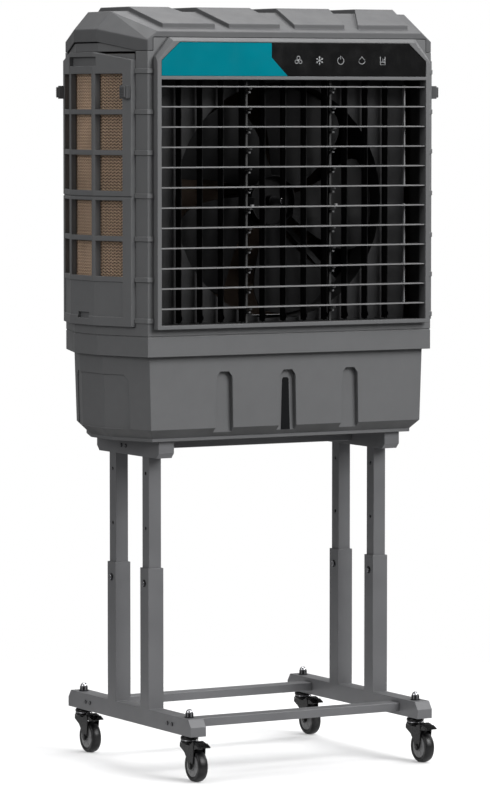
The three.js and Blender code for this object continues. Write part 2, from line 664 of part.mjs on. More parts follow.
function cabinetShell() {
  const walls = prismZ(inset(0), [skirtBottom, columnTop]).subtract(prismZ(inset(WALL), [0, coverTop]));
  const deck = prismZ(inset(WALL / 2), [deckBottom, deckTop])
    .subtract(prismZ(inset(DECK_WIDTH), [0, coverTop]));
  const ring = prismZ(inset(INNER_RING_INSET), [columnTop - 1.2, shellTop])
    .subtract(prismZ(inset(INNER_RING_INSET + WALL), [0, coverTop]));
  const headerBottom = outletTop + DUCT_WALL + 2;
  const header = block([-bezelX, bezelX], [frontY, frontY + WALL], [headerBottom, bezelTop - GAP]);
  const sideOpening = block([-FAR, FAR], [-columnY, columnY], [panelBottom, columnTop + CUT_OVER])
    .subtract(prismZ(inset(INNER_RING_INSET - 0.1), [0, coverTop]));
  const behind = [-frontY - WALL - CUT_OVER, -frontY + 20];
  const rearOpening = block([-rearPanelX, rearPanelX], behind, [panelBottom, panelTop + 2]);
  const grooveBottom = skirtBottom + SKIRT_GROOVE_HEIGHT;
  const groove = prismZ(inset(-CUT_OVER), [grooveBottom, grooveBottom + 2])
    .subtract(prismZ(inset(1.5), [0, coverTop]));
  const shell = cut(walls, [sideOpening, rearOpening]).add(columnLedges());
  const whole = union([shell, deck, ring, header, jambs()]);
  const glandPlace = [frontX - GLAND_FROM_CORNER, skirtBottom + GLAND_ABOVE_SKIRT];
  const gland = bar('y', GLAND_RADIUS, [-frontY - 1, -frontY + GLAND_LENGTH], glandPlace, 16);
  const glandHole = bar('y', CABLE_RADIUS, [-frontY + 2, -frontY + GLAND_LENGTH + CUT_OVER], glandPlace, 10);
  return cut(whole.add(gland), [outletOpening(), groove, glandHole]);
}

add('cabinet_shell', cabinetShell(), greyPlastic);

// ---------------------------------------------------------------- front bezel
function chamfered(halfWidth, [z0, z1], [cornerX, cornerZ]) {
  return [
    [-halfWidth, z0], [halfWidth, z0], [halfWidth, z1 - cornerZ], [halfWidth - cornerX, z1],
    [cornerX - halfWidth, z1], [-halfWidth, z1 - cornerZ],
  ];
}

function frontBezel() {
  const depth = [bezelY, frontY - GAP];
  const outer = chamfered(bezelX, [bezelBottom, bezelTop], BEZEL_CORNER);
  const edgeCorner = [BEZEL_CORNER[0] + 6, BEZEL_CORNER[1] + 4];
  const frontEdge = chamfered(bezelX, [bezelBottom, bezelTop - BEZEL_BROW], edgeCorner);
  const at = (points, y) => points.map(([x, z]) => [x, y, z]);
  const frame = hull([...at(frontEdge, bezelY), ...at(outer, bezelY + 9), ...at(outer, depth[1])]);
  const through = [bezelY - CUT_OVER, bezelY + DUCT_DEPTH + CUT_OVER];
  const outlet = block([-openingX, openingX], through, [outletBottom, outletTop]);
  const pocketFace = chamfered(openingX, [controlBottom, controlTop], CONTROL_CORNER);
  const pocket = prismY(pocketFace, [bezelY - CUT_OVER, bezelY + POCKET_DEPTH]);
  const relief = prismY(
    chamfered(openingX - 8, [controlBottom + 6, controlTop - 6], CONTROL_CORNER), [bezelY + 8, frontY],
  );
  const ductX = openingX + DUCT_WALL;
  const duct = block(
    [-ductX, ductX], [frontY - 1, bezelY + DUCT_DEPTH], [outletBottom - DUCT_WALL, outletTop + DUCT_WALL],
  );
  const body = cut(frame.add(duct), [outlet, pocket, relief]);

  const mullionFront = slatY + SLAT_CHORD / 2 + MULLION_GAP;
  const mullions = both((side) => {
    const x = [side * MULLION_X - MULLION_WIDTH / 2, side * MULLION_X + MULLION_WIDTH / 2];
    const post = block(x, [mullionFront, mullionFront + MULLION_DEPTH], [outletBottom - 1, outletTop + 1]);
    const hooks = slatLevels.map((z) => block(x, [slatY + 3, mullionFront + 1], [z - 15, z - 10.5]));
    return union([post, ...hooks]);
  });
  const slatHoles = slatLevels.map((z) =>
    bar('x', PIN_HOLE_RADIUS, [-openingX - 6, openingX + 6], [slatY, z], 6));
  const vaneHoles = vanePlaces.map((x) =>
    bar('z', PIN_HOLE_RADIUS, [outletBottom - DUCT_WALL - 1, outletTop + DUCT_WALL + 1], [x, vaneY], 6));
  return union([cut(body, [...slatHoles, ...vaneHoles]), ...mullions]);
}

add('front_bezel', frontBezel(), greyPlastic);

const controlFace = chamfered(
  openingX - 2 * GAP, [controlBottom + 2 * GAP, controlTop - 2 * GAP], CONTROL_CORNER,
);
add('control_panel', prismY(controlFace, [bezelY + 0.5, bezelY + 0.5 + CONTROL_THICKNESS]), controlPlastic);

// ---------------------------------------------------------------- louvres and vanes
// one slat about its own pivot line: blade, end pins and the crank for its link
function louvre(withTabs) {
  const [c, t] = [SLAT_CHORD / 2, SLAT_THICKNESS / 2];
  const half = openingX - RUNNING_GAP;
  const section = [[-c, -0.8 * t], [0, -t], [c, -0.4 * t], [c, 0.4 * t], [0, t], [-c, 0.8 * t]];
  const blade = prismX(section, [-half, half]);
  const pins = bar('x', SLAT_PIN_RADIUS, [-half - 4.5, half + 4.5], [0, 0], 6);
  const bosses = both((side) => {
    const x = side * MULLION_X;
    return bar('x', 4.5, [x - MULLION_WIDTH / 2, x + MULLION_WIDTH / 2], [0, -3], 6);
  });
  const earInner = LINK_X - LINK_THICKNESS / 2 - RUNNING_GAP;
  const ear = block([earInner - 3, earInner], [8, CRANK_RADIUS + 2.5], [-2.5, 2.5]);
  const pinEnd = LINK_X + LINK_THICKNESS / 2 + 2;
  const crankPin = bar('x', CRANK_PIN_RADIUS, [earInner - 1, pinEnd], [CRANK_RADIUS, 0], 6);
  const tabs = both((side) => block([side * MULLION_X - 3, side * MULLION_X + 3], [-12, -4], [0, 6]));
  return union([blade, pins, ...bosses, ear, crankPin, ...(withTabs ? tabs : [])]);
}

slatLevels.forEach((z, i) => {
  const number = String(i + 1).padStart(2, '0');
  add(`louvre_${number}`, louvre(i === SLATS_PER_GROUP), slatPlastic, [0, slatY, z]);
});

// flat bar that joins the cranks of one group of slats
function louvreLink(levels) {
  const y = slatY + CRANK_RADIUS;
  const x = [LINK_X - LINK_THICKNESS / 2, LINK_X + LINK_THICKNESS / 2];
  const span = [Math.min(...levels) - LINK_END, Math.max(...levels) + LINK_END];
  const flat = block(x, [y - LINK_WIDTH / 2, y + LINK_WIDTH / 2], span);
  return cut(flat, levels.map((z) => bar('x', CRANK_PIN_RADIUS + 0.5, [x[0] - 1, x[1] + 1], [y, z], 6)));
}

add('upper_link', louvreLink(slatLevels.slice(0, SLATS_PER_GROUP)), slatPlastic);
add('lower_link', louvreLink(slatLevels.slice(SLATS_PER_GROUP)), slatPlastic);

// one upright vane about its own pivot line, with a small hook near its foot
function vane() {
  const [t, c] = [VANE_THICKNESS / 2, VANE_CHORD / 2];
  const [low, high] = [outletBottom + 2, outletTop - 2];
  const blade = block([-t, t], [-c, c], [low, high]);
  const pinSpan = [outletBottom - DUCT_WALL + RUNNING_GAP, outletTop + DUCT_WALL - RUNNING_GAP];
  const pin = bar('z', SLAT_PIN_RADIUS, pinSpan, [0, 0], 6);
  const hookSide = [[-c + 2, low + 4], [-c - 5, low + 9], [-c - 5, low + 13], [-c + 2, low + 20]];
  const hook = prismX(hookSide, [-t, t]);
  return union([blade, pin, hook]);
}

vanePlaces.forEach((x, i) => {
  add(`vane_${String(i + 1).padStart(2, '0')}`, vane(), vanePlastic, [x, vaneY, 0]);
});

// ---------------------------------------------------------------- fan
const ringRadius = FAN_DIAMETER / 2 + FAN_TIP_GAP;
const ringBack = shroudY + RING_DEPTH;
const bracketFront = ringBack - BRACKET_DEPTH;
const rotorBack = bracketFront - 8;
const fanAt = (solid) => toSolid(toGeometry(solid).translate(0, 0, fanZ));

function fanShroud() {
  const x = openingX - SHROUD_SIDE_GAP;
  const plate = block([-x, x], [shroudY, shroudY + SHROUD_PLATE], [deckTop + GAP, columnTop - 8])
    .subtract(bar('y', ringRadius, [shroudY - 1, shroudY + 10], [0, fanZ], 36));
  const ring = fanAt(turned([
    [ringRadius, shroudY], [ringRadius + SHROUD_PLATE, shroudY], [ringRadius + SHROUD_PLATE, ringBack],
    [ringRadius, ringBack], [ringRadius, shroudY],
  ], 'y', 36));
  const armShape = toGeometry(block(
    [40, ringRadius + SHROUD_PLATE / 2], [bracketFront, ringBack], [-BRACKET_ARM / 2, BRACKET_ARM / 2],
  ));
  const arms = [1, 3, 5, 7].map((eighth) => fanAt(toSolid(armShape.clone().rotateY(eighth * Math.PI / 4))));
  const disc = bar('y', MOTOR_RADIUS + 6, [bracketFront, ringBack], [0, fanZ], 24)
    .subtract(bar('y', SHAFT_RADIUS + 6, [bracketFront - 1, ringBack + 1], [0, fanZ], 16));
  return union([plate, ring, ...arms, disc]);
}

function fanMotor() {
  const [front, back] = [ringBack + GAP, ringBack + GAP + MOTOR_LENGTH];
  const bore = SHAFT_RADIUS + RUNNING_GAP;
  return fanAt(turned([
    [0, front + 40], [bore, front + 40], [bore, front], [MOTOR_RADIUS - 8, front], [MOTOR_RADIUS, front + 8],
    [MOTOR_RADIUS, back - 14], [MOTOR_RADIUS - 14, back], [0, back],
  ], 'y', 24));
}

// one blade: a thin twisted plate between root and tip, swept along the turn
function fanBlade() {
  const [spans, chords] = [3, 5];
  const [root, tip] = [HUB_RADIUS - 5, FAN_DIAMETER / 2];
  const middle = rotorBack - FAN_DEPTH / 2;
  const points = [];
  for (const face of [-1, 1]) {
    for (let i = 0; i <= spans; i += 1) {
      const out = i / spans;
      const radius = root + out * (tip - root);
      const [spread, rise] = [0.46 + 0.05 * out, (FAN_DEPTH / 2 - 2) * (1 - 0.45 * out)];
      for (let j = 0; j <= chords; j += 1) {
        const along = (2 * j) / chords - 1;
        const angle = 0.28 * out + spread * along;
        const camber = BLADE_CAMBER * (1 - along * along);
        const y = middle + rise * along - camber + (BLADE_THICKNESS / 2) * face;
        points.push([radius * Math.cos(angle), y, radius * Math.sin(angle)]);
      }
    }
  }
  const row = chords + 1;
  const sheet = row * (spans + 1);
  const faces = [];
  const quad = (a, b, c, d) => faces.push(a, b, c, a, c, d);
  for (let i = 0; i < spans; i += 1) {
    for (let j = 0; j < chords; j += 1) {
      const a = i * row + j;
      quad(a, a + row, a + row + 1, a + 1);
      quad(a + sheet + 1, a + sheet + row + 1, a + sheet + row, a + sheet);
    }
    const [start, end] = [i * row, i * row + chords];
    quad(start, start + sheet, start + sheet + row, start + row);
    quad(end + row, end + sheet + row, end + sheet, end);
  }
  for (let j = 0; j < chords; j += 1) {
    const tipStart = spans * row + j;
    quad(j, j + 1, j + sheet + 1, j + sheet);
    quad(tipStart + 1, tipStart, tipStart + sheet, tipStart + sheet + 1);
  }
  const geometry = new THREE.BufferGeometry();
  geometry.setAttribute('position', new THREE.BufferAttribute(new Float32Array(points.flat()), 3));
  geometry.setIndex(faces);
  return geometry;
}

function fanRotor() {
  const front = rotorBack - FAN_DEPTH;
  const hub = turned([
    [0, front - 2], [HUB_RADIUS - 24, front], [HUB_RADIUS - 5, front + 6], [HUB_RADIUS, front + 14],
    [HUB_RADIUS, rotorBack], [0, rotorBack],
  ], 'y', 20);
  const shaft = bar('y', SHAFT_RADIUS, [rotorBack - 5, ringBack + 30], [0, 0], 10);
  const blades = Array.from({ length: FAN_BLADES }, (_, i) =>
    toSolid(fanBlade().rotateY((i * 2 * Math.PI) / FAN_BLADES + 0.3)));
  return fanAt(union([hub, shaft, ...blades]));
}

add('fan_shroud', fanShroud(), darkPlastic);
add('fan_motor', fanMotor(), motorPaint);
add('fan_rotor', fanRotor(), darkPlastic);

// ---------------------------------------------------------------- pad panels
const panelHalf = columnY - 2 * GAP;
const obliqueStart = CENTRE_WINDOW / 2 + MULLION;
const archFlat = SIDE_FLAT / 2;
const footLevels = [panelBottom + 22, panelBottom + LOWER_FIELD - 12];
const facetLean = Math.atan2(CABINET_WIDTH / 2 - frontX, CABINET_DEPTH / 2 - SIDE_FLAT / 2);

// turn-latch that stands out of an edge, made at the origin with +X outward
function latch() {
  const [out, along, up] = LATCH;
  return union([
    block([-4, out - 5], [-along / 2, along / 2], [-up / 2, up / 2]),
    block([out - 6, out], [-along / 2 + 3, along / 2 - 3], [-up / 2 + 3, up / 2 - 3]),
  ]);
}

function placed(solid, turn, [x, y, z]) {
  return toSolid(toGeometry(solid).rotateZ(turn).translate(x, y, z));
}

// the left panel: a faceted slab with an arched top, windows, a hand recess, a sunk foot
// field and two latches
function sidePanel() {
  const arch = [
    [-panelHalf, panelBottom + GAP], [panelHalf, panelBottom + GAP], [panelHalf, panelTop],
    [archFlat, panelTop + PANEL_ARCH], [-archFlat, panelTop + PANEL_ARCH], [-panelHalf, panelTop],
  ];
  const slab = prismZ(inset(-PANEL_PROUD), [0, coverTop]).subtract(prismZ(inset(PANEL_INNER), [0, coverTop]))
    .intersect(prismX(arch, [-CABINET_WIDTH / 2 - 20, -frontX + 20]));
  const outside = [-CABINET_WIDTH / 2 - 20, -frontX + 30];
  const windows = rows.flatMap(([bottom, top]) => [
    block(outside, [-CENTRE_WINDOW / 2, CENTRE_WINDOW / 2], [bottom, top]),
    ...both((side) => {
      const y = [side * obliqueStart, side * (obliqueStart + OBLIQUE_WINDOW)].sort((a, b) => a - b);
      return block(outside, y, [bottom, top]);
    }),
  ]);
  const face = -CABINET_WIDTH / 2 - PANEL_PROUD;
  const handle = block([face - 1, face + 10], [-archFlat - 10, archFlat], [panelTop - 14, panelTop + 7]);
  const notch = block([face - 1, face + 9], [-34, 20], [panelBottom + 16, panelBottom + 30]);
  const split = panelSkin(2.5, [rows[UPPER_ROWS][1] + 7, rows[UPPER_ROWS][1] + 10]);
  const footY = obliqueStart + OBLIQUE_WINDOW;
  const foot = panelSkin(FOOT_DEPTH, footLevels)
    .intersect(block([-FAR, 0], [-footY, footY], [0, coverTop]));
  const latches = both((side) => {
    const y = side * (panelHalf - LATCH[1] / 2 - 2);
    const x = CABINET_WIDTH / 2 - (Math.abs(y) - SIDE_FLAT / 2) * Math.tan(facetLean)
      + PANEL_PROUD / Math.cos(facetLean);
    return placed(latch(), Math.PI - side * facetLean, [-x, y, rows[0][0] + 40]);
  });
  return union([cut(slab, [...windows, handle, notch, split, foot]), ...latches]);
}

// the outer skin of the panels, for shallow cuts
function panelSkin(depth, [z0, z1]) {
  return prismZ(inset(-PANEL_PROUD - CUT_OVER), [z0, z1])
    .subtract(prismZ(inset(-PANEL_PROUD + depth), [z0 - CUT_OVER, z1 + CUT_OVER]));
}

function rearPanel() {
  const [x, front] = [rearPanelX - 2 * GAP, -frontY - PANEL_INNER];
  const back = -frontY + PANEL_PROUD;
  const slab = block([-x, x], [front, back], [panelBottom + GAP, panelTop]);
  const windowsWidth = REAR_PANEL_WIDTH - 2 * REAR_SIDE_FRAME - (REAR_COLUMNS - 1) * MULLION;
  const columnWidth = windowsWidth / REAR_COLUMNS;
  const windows = rows.flatMap((level) => Array.from({ length: REAR_COLUMNS }, (_, i) => {
    const left = -REAR_PANEL_WIDTH / 2 + REAR_SIDE_FRAME + i * (columnWidth + MULLION);
    return block([left, left + columnWidth], [front - 1, back + 1], level);
  }));
  const handle = block([-70, 70], [back - 8, back + 1], [panelTop - 26, panelTop - 8]);
  const foot = block([-x + 30, x - 30], [back - FOOT_DEPTH, back + CUT_OVER], footLevels);
  const latches = both((side) => placed(latch(), Math.PI / 2, [side * (x - 14), back, rows[0][0] + 40]));
  return union([cut(slab, [...windows, handle, foot]), ...latches]);
}

function sidePad() {
  const bay = block(
    [-FAR, -openingX - DUCT_WALL - PAD_CLEAR], [-columnY + PAD_CLEAR, columnY - PAD_CLEAR], [0, coverTop],
  );
  return prismZ(inset(PAD_INSET), [panelBottom + PAD_CLEAR, columnTop - 2 * PAD_CLEAR])
    .subtract(prismZ(inset(PAD_INSET + PAD_THICKNESS), [0, coverTop]))
    .intersect(bay);
}

function rearPad() {
  const y = -frontY - PAD_INSET;
  const z = [panelBottom + PAD_CLEAR, panelTop - PAD_CLEAR];
  return block([-REAR_PAD_WIDTH / 2, REAR_PAD_WIDTH / 2], [y - PAD_THICKNESS, y], z);
}

add('left_panel', sidePanel(), greyPlastic);
add('right_panel', sidePanel(), greyPlastic, [0, 0, 0], Math.PI);
add('rear_panel', rearPanel(), greyPlastic);
add('left_pad', sidePad(), padFibre);
add('right_pad', sidePad(), padFibre, [0, 0, 0], Math.PI);
add('rear_pad', rearPad(), padFibre);

// ---------------------------------------------------------------- top cover
// corners of the cover's convex body, moved in by the distance
function coverPoints(distance) {
  const [a, b, c, h] = movedIn(cabinet, distance);
  const drop = distance === 0 ? 0 : 2;
  const level = (z) => z - distance;
  const corner = [
    [a, c, columnTop + GAP - drop], [b, h, columnTop + GAP - drop],
    [a, c, level(bezelTop - COVER_CORNER_DROP)],
    [a - COVER_FRONT_CHAMFER, c, level(bezelTop + COVER_FRONT_RISE)],
    [b, h, level(bezelTop + COVER_SIDE_RISE)], [b - COVER_SIDE_SLOPE, h, level(coverTop)],
    [a - COVER_RIDGE_INSET, COVER_RIDGE_Y, level(coverTop)],
  ];
  return both((sx) => both((sy) => corner.map(([x, y, z]) => [sx * x, sy * y, z]))).flat(2);
}

function topCover() {
  const raised = hull(coverPoints(0).map(([x, y, z]) => [x, y, z + RIB_RISE]));
  const ribFront = CABINET_DEPTH / 2 - RIB_FRONT_INSET;
  const ribs = both((side) => RIBS.map(({ front, ridge }) => {
    const footprint = [
      [front[0], -ribFront], [front[1], -ribFront], [ridge[1], -COVER_RIDGE_Y], [ridge[1], COVER_RIDGE_Y],
      [front[1], ribFront], [front[0], ribFront], [ridge[0], COVER_RIDGE_Y], [ridge[0], -COVER_RIDGE_Y],
    ].map(([x, y]) => [side * x, y]);
    return prismZ(footprint, [columnTop + 10, coverTop + 40]).intersect(raised);
  })).flat();
  const solid = union([hull(coverPoints(0)), ...ribs]);
  const notchY = [frontY - CUT_OVER, frontY + WALL + CUT_OVER];
  const bezelNotch = block([-bezelX - GAP, bezelX + GAP], notchY, [0, bezelTop + GAP]);
  const [low, high] = [columnTop + GAP, columnTop + GAP + COVER_ARCH];
  const archSide = [
    [-columnY, low - 5], [columnY, low - 5], [columnY, low], [archFlat, high], [-archFlat, high],
    [-columnY, low],
  ];
  const arch = prismX(archSide, [-FAR, FAR]);
  return cut(solid, [hull(coverPoints(WALL)), bezelNotch, arch]);
}

add('top_cover', topCover(), coverPlastic);

// ---------------------------------------------------------------- water circuit
const trayBottom = columnTop + GAP;

// open channel above the three pads
function waterDistributor() {
  const outer = prismZ(inset(TRAY_INSET), [trayBottom, trayBottom + TRAY_HEIGHT])
    .subtract(prismZ(inset(TRAY_INSET + TRAY_WIDTH), [0, coverTop]));
  const channel = prismZ(inset(TRAY_INSET + 3), [trayBottom + 3, coverTop])
    .subtract(prismZ(inset(TRAY_INSET + TRAY_WIDTH - 3), [0, coverTop]));
  const frontSide = block([-FAR, FAR], [-FAR, frontY + DECK_WIDTH], [0, coverTop]);
  return cut(outer, [channel, frontSide]);
}

// pump on the tank's floor with the riser that feeds the channel
function pump() {
  const [width, depth, height] = PUMP_SIZE;
  const trayEdge = CABINET_DEPTH / 2 - TRAY_INSET - TRAY_WIDTH;
  const y = trayEdge - RISER_RADIUS - 12;
  const floor = tankBottom + WALL + 1 + GAP;
  const housing = block(
    [PUMP_X - width / 2, PUMP_X + width / 2], [y - depth / 2, y + depth / 2 - 8], [floor, floor + height],
  );
  const outletZ = trayBottom + TRAY_HEIGHT / 2;
  const route = new THREE.CatmullRomCurve3([
    [y, floor + height - 4], [y, floor + height + 60], [y, outletZ - 120], [y, outletZ - 24],
    [y + 4, outletZ - 6], [trayEdge - 5, outletZ],
  ].map(([py, pz]) => new THREE.Vector3(PUMP_X, py, pz)));
  const eighths = Array.from({ length: 8 }, (_, i) => (i * Math.PI) / 4);
  const section = new THREE.Shape(eighths.map((angle) =>
    new THREE.Vector2(RISER_RADIUS * Math.cos(angle), RISER_RADIUS * Math.sin(angle))));
  const riser = new THREE.ExtrudeGeometry(section, { steps: 16, extrudePath: route });
  return housing.add(toSolid(riser));
}

add('water_distributor', waterDistributor(), darkPlastic);
add('pump', pump(), darkPlastic);

export default model;
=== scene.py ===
"""Looks of the evaporative cooler: fine surfaces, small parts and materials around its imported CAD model.

Metres, +Z up, the air outlet faces -Y. Places come from the CAD nodes' boxes and from the joints' pivots.
"""
import json
import math

import bmesh
import bpy
import numpy as np
from mathutils import Matrix, Vector


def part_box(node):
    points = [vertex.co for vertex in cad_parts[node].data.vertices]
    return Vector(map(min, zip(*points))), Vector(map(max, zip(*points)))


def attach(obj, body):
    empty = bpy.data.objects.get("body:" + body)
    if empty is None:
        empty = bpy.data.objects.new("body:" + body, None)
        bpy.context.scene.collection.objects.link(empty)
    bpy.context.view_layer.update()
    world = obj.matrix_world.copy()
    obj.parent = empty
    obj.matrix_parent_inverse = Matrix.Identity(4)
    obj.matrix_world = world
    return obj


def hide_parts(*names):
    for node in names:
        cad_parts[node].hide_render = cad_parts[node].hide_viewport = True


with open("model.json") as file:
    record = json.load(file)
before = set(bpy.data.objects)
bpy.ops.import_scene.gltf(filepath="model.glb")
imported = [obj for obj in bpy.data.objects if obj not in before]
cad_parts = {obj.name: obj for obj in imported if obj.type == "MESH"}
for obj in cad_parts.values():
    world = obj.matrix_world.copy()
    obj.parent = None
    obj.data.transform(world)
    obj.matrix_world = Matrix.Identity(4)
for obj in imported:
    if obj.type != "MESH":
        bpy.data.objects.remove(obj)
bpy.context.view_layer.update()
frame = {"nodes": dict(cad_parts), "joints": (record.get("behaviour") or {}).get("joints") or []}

NODES = frame["nodes"]
PIVOTS = {joint["name"]: Vector(joint["pos_m"]) for joint in frame["joints"] if joint.get("pos_m")}
ENDS = ("front", "rear")
SIDES = {"left": -1, "right": 1}
CORNERS = [f"{end}_{side}" for end in ENDS for side in SIDES]

# ---------------------------------------------------------------- sizes shared with the frame
MIDDLE_Y = (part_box("base_frame_left")[0].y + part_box("base_frame_left")[1].y) / 2
# Half sizes of the cabinet's eight-sided outline: front, sides, depth and the sides' flat stretch.
FRONT_X, SIDE_X, DEEP_Y, FLAT_Y = 0.382, 0.436, 0.206, 0.057
LEAN = math.atan2(SIDE_X - FRONT_X, DEEP_Y - FLAT_Y)  # turn of the outline's slanted stretches
SLAT_COUNT, VANE_COUNT = 12, 11
TUBE = 0.040
LEG_REACH = 0.0823  # from the middle of the depth to a leg's middle
BOLT_DROP = 0.036  # from a sleeve's top down to its clamp bolt
RAIL_GAP = 0.0003  # between a base rail's end and its beam
SCREW_REACH = 0.011  # from a rail's middle to each of its pair of screws
PANEL_OUT = 0.011  # a panel's outer face beyond the cabinet's outline
LATCH_REACH, LATCH_Z = 0.1584, 1.5867

# ---------------------------------------------------------------- camera, light and floor
CAMERA_PLACE = (-5.1096, -9.0086, 1.5601)
CAMERA_PITCH, CAMERA_YAW = -3.861, 29.4796
LENS, SENSOR = 197.206, 36.0
WORLD_RISE = (-0.25, 0.9, 0.10, 0.55)  # direction's height from, to; strength from, to
LAMPS = {  # place, height of the point aimed at, size, watts
    "key": ((2.4, -5.6, 4.6), 1.0, 4.6, 540),
    "top": ((0.4, 1.2, 5.6), 1.0, 4.4, 210),
    "rim": ((5.2, 0.6, 2.2), 1.0, 2.4, 90),
    "fill": ((-5.6, -0.6, 2.9), 1.3, 3.0, 95),
}
FLOOR_RADIUS, FLOOR_FADE = 2.1, 1.9  # the floor's rim, and where it has become fully transparent


def make_camera():
    data = bpy.data.cameras.new("camera")
    data.lens, data.sensor_width = LENS, SENSOR
    camera = bpy.data.objects.new("camera", data)
    camera.location = CAMERA_PLACE
    camera.rotation_euler = (math.radians(90 + CAMERA_PITCH), 0, -math.radians(CAMERA_YAW))
    bpy.context.scene.collection.objects.link(camera)
    bpy.context.scene.camera = camera


def area_light(name, place, aim, size, watts):
    data = bpy.data.lights.new(name, "AREA")
    data.shape, data.size, data.energy = "DISK", size, watts
    lamp = bpy.data.objects.new(name, data)
    lamp.location = place
    lamp.rotation_euler = (Vector(aim) - Vector(place)).to_track_quat("-Z", "Y").to_euler()
    bpy.context.scene.collection.objects.link(lamp)


def make_world():
    """White behind the object, and a dimmer light on it that grows towards the ceiling."""
    scene = bpy.context.scene
    scene.view_settings.view_transform = "Standard"
    world = bpy.data.worlds.new("studio")
    world.use_nodes = True
    scene.world = world
    tree = world.node_tree
    background = tree.nodes["Background"]
    background.inputs["Color"].default_value = (1, 1, 1, 1)
    place = tree.nodes.new("ShaderNodeTexCoord")
    parts = tree.nodes.new("ShaderNodeSeparateXYZ")
    tree.links.new(place.outputs["Generated"], parts.inputs["Vector"])
    height = tree.nodes.new("ShaderNodeMapRange")
    for key, value in zip(("From Min", "From Max", "To Min", "To Max"), WORLD_RISE):
        height.inputs[key].default_value = value
    tree.links.new(parts.outputs["Z"], height.inputs["Value"])
    rays = tree.nodes.new("ShaderNodeLightPath")
    level = tree.nodes.new("ShaderNodeMapRange")
    level.inputs["To Max"].default_value = 1.0
    tree.links.new(height.outputs["Result"], level.inputs["To Min"])
    tree.links.new(rays.outputs["Is Camera Ray"], level.inputs["Value"])
    tree.links.new(level.outputs["Result"], background.inputs["Strength"])


def make_studio():
    make_world()
    for name, (place, aim_z, size, watts) in LAMPS.items():
        area_light(name, place, (0, MIDDLE_Y, aim_z), size, watts)


# ---------------------------------------------------------------- node trees
EDGE_TURN = (0.995, 0.8)  # agreement of flat and rounded normal where an edge's mask is 0, and where it is 1
FACING_UP, PAINTED_SHADE_FACING = (0.55, 0.95), (-0.2, -0.6)  # normal's height where dust on top, and painted shade underneath, starts and is full
DUST, RUBBER_DUST = (0.42, 0.41, 0.39), (0.16, 0.155, 0.15)
GRAIN_SCALE, GRAIN_DEPTH = 1500, 5e-5
UNDERSIDE_SHADE_SHARE, SHADED = 0.28, 0.10  # share of the plain colour left under the painted shade on downward faces, and under the painted shade deep inside a shell


class Surface:
    """One procedural material and shorthand for its nodes."""

    def __init__(self, name):
        self.material = bpy.data.materials.new(name)
        self.material.use_nodes = True
        self.tree = self.material.node_tree
        self.shader = self.tree.nodes["Principled BSDF"]
        self.place = self.add("ShaderNodeTexCoord").outputs["Object"]

    def add(self, kind, values=(), **settings):
        node = self.tree.nodes.new(kind)
        for key, value in settings.items():
            setattr(node, key, value)
        for key, value in dict(values).items():
            self.put(node, key, value)
        return node

    def put(self, node, key, value):
        if isinstance(value, bpy.types.NodeSocket):
            self.tree.links.new(value, node.inputs[key])
        else:
            node.inputs[key].default_value = value

    def noise(self, scale, detail=2.0, stretch=None):
        place = self.place
        if stretch:
            place = self.add("ShaderNodeMapping", {"Vector": place, "Scale": stretch}).outputs["Vector"]
        values = {"Vector": place, "Scale": scale, "Detail": detail}
        return self.add("ShaderNodeTexNoise", values).outputs["Fac"]

    def spread(self, value, low, high, to_low=0.0, to_high=1.0):
        values = {"Value": value, "From Min": low, "From Max": high, "To Min": to_low, "To Max": to_high}
        return self.add("ShaderNodeMapRange", values).outputs["Result"]

    def maths(self, operation, first, second):
        node = self.add("ShaderNodeMath", {0: first, 1: second}, operation=operation)
        return node.outputs["Value"]

    def mix(self, share, first, second):
        node = self.add("ShaderNodeMix", data_type="RGBA")
        self.put(node, "Factor", share)
        for key, value in ((6, first), (7, second)):
            is_socket = isinstance(value, bpy.types.NodeSocket)
            self.put(node, key, value if is_socket else (*value[:3], 1.0))
        return node.outputs[2]

    def edges(self, radius):
        """(rounded normal, mask that is 1 on outer and inner edges)"""
        rounded = self.add("ShaderNodeBevel", {"Radius": radius}, samples=4).outputs["Normal"]
        flat = self.add("ShaderNodeNewGeometry").outputs["Normal"]
        both = {0: rounded, 1: flat}
        agreement = self.add("ShaderNodeVectorMath", both, operation="DOT_PRODUCT").outputs["Value"]
        return rounded, self.spread(agreement, *EDGE_TURN)

    def facing(self, start, full):
        """0 where the normal's height is start, and 1 where it is full"""
        normal = self.add("ShaderNodeNewGeometry").outputs["Normal"]
        height = self.add("ShaderNodeSeparateXYZ", {"Vector": normal}).outputs["Z"]
        return self.spread(height, start, full)

    def bump(self, height, distance, normal=None):
        values = {"Height": height, "Distance": distance, "Strength": 1.0}
        if normal is not None:
            values["Normal"] = normal
        return self.add("ShaderNodeBump", values).outputs["Normal"]

    def finish(self, colour, roughness, normal, **plain):
        self.put(self.shader, "Base Color", colour)
        self.put(self.shader, "Roughness", roughness)
        self.put(self.shader, "Normal", normal)
        for key, value in plain.items():
            self.shader.inputs[key.replace("_", " ")].default_value = value
        return self.material


def shade(colour, factor):
    return tuple(min(1.0, part * factor) for part in colour)


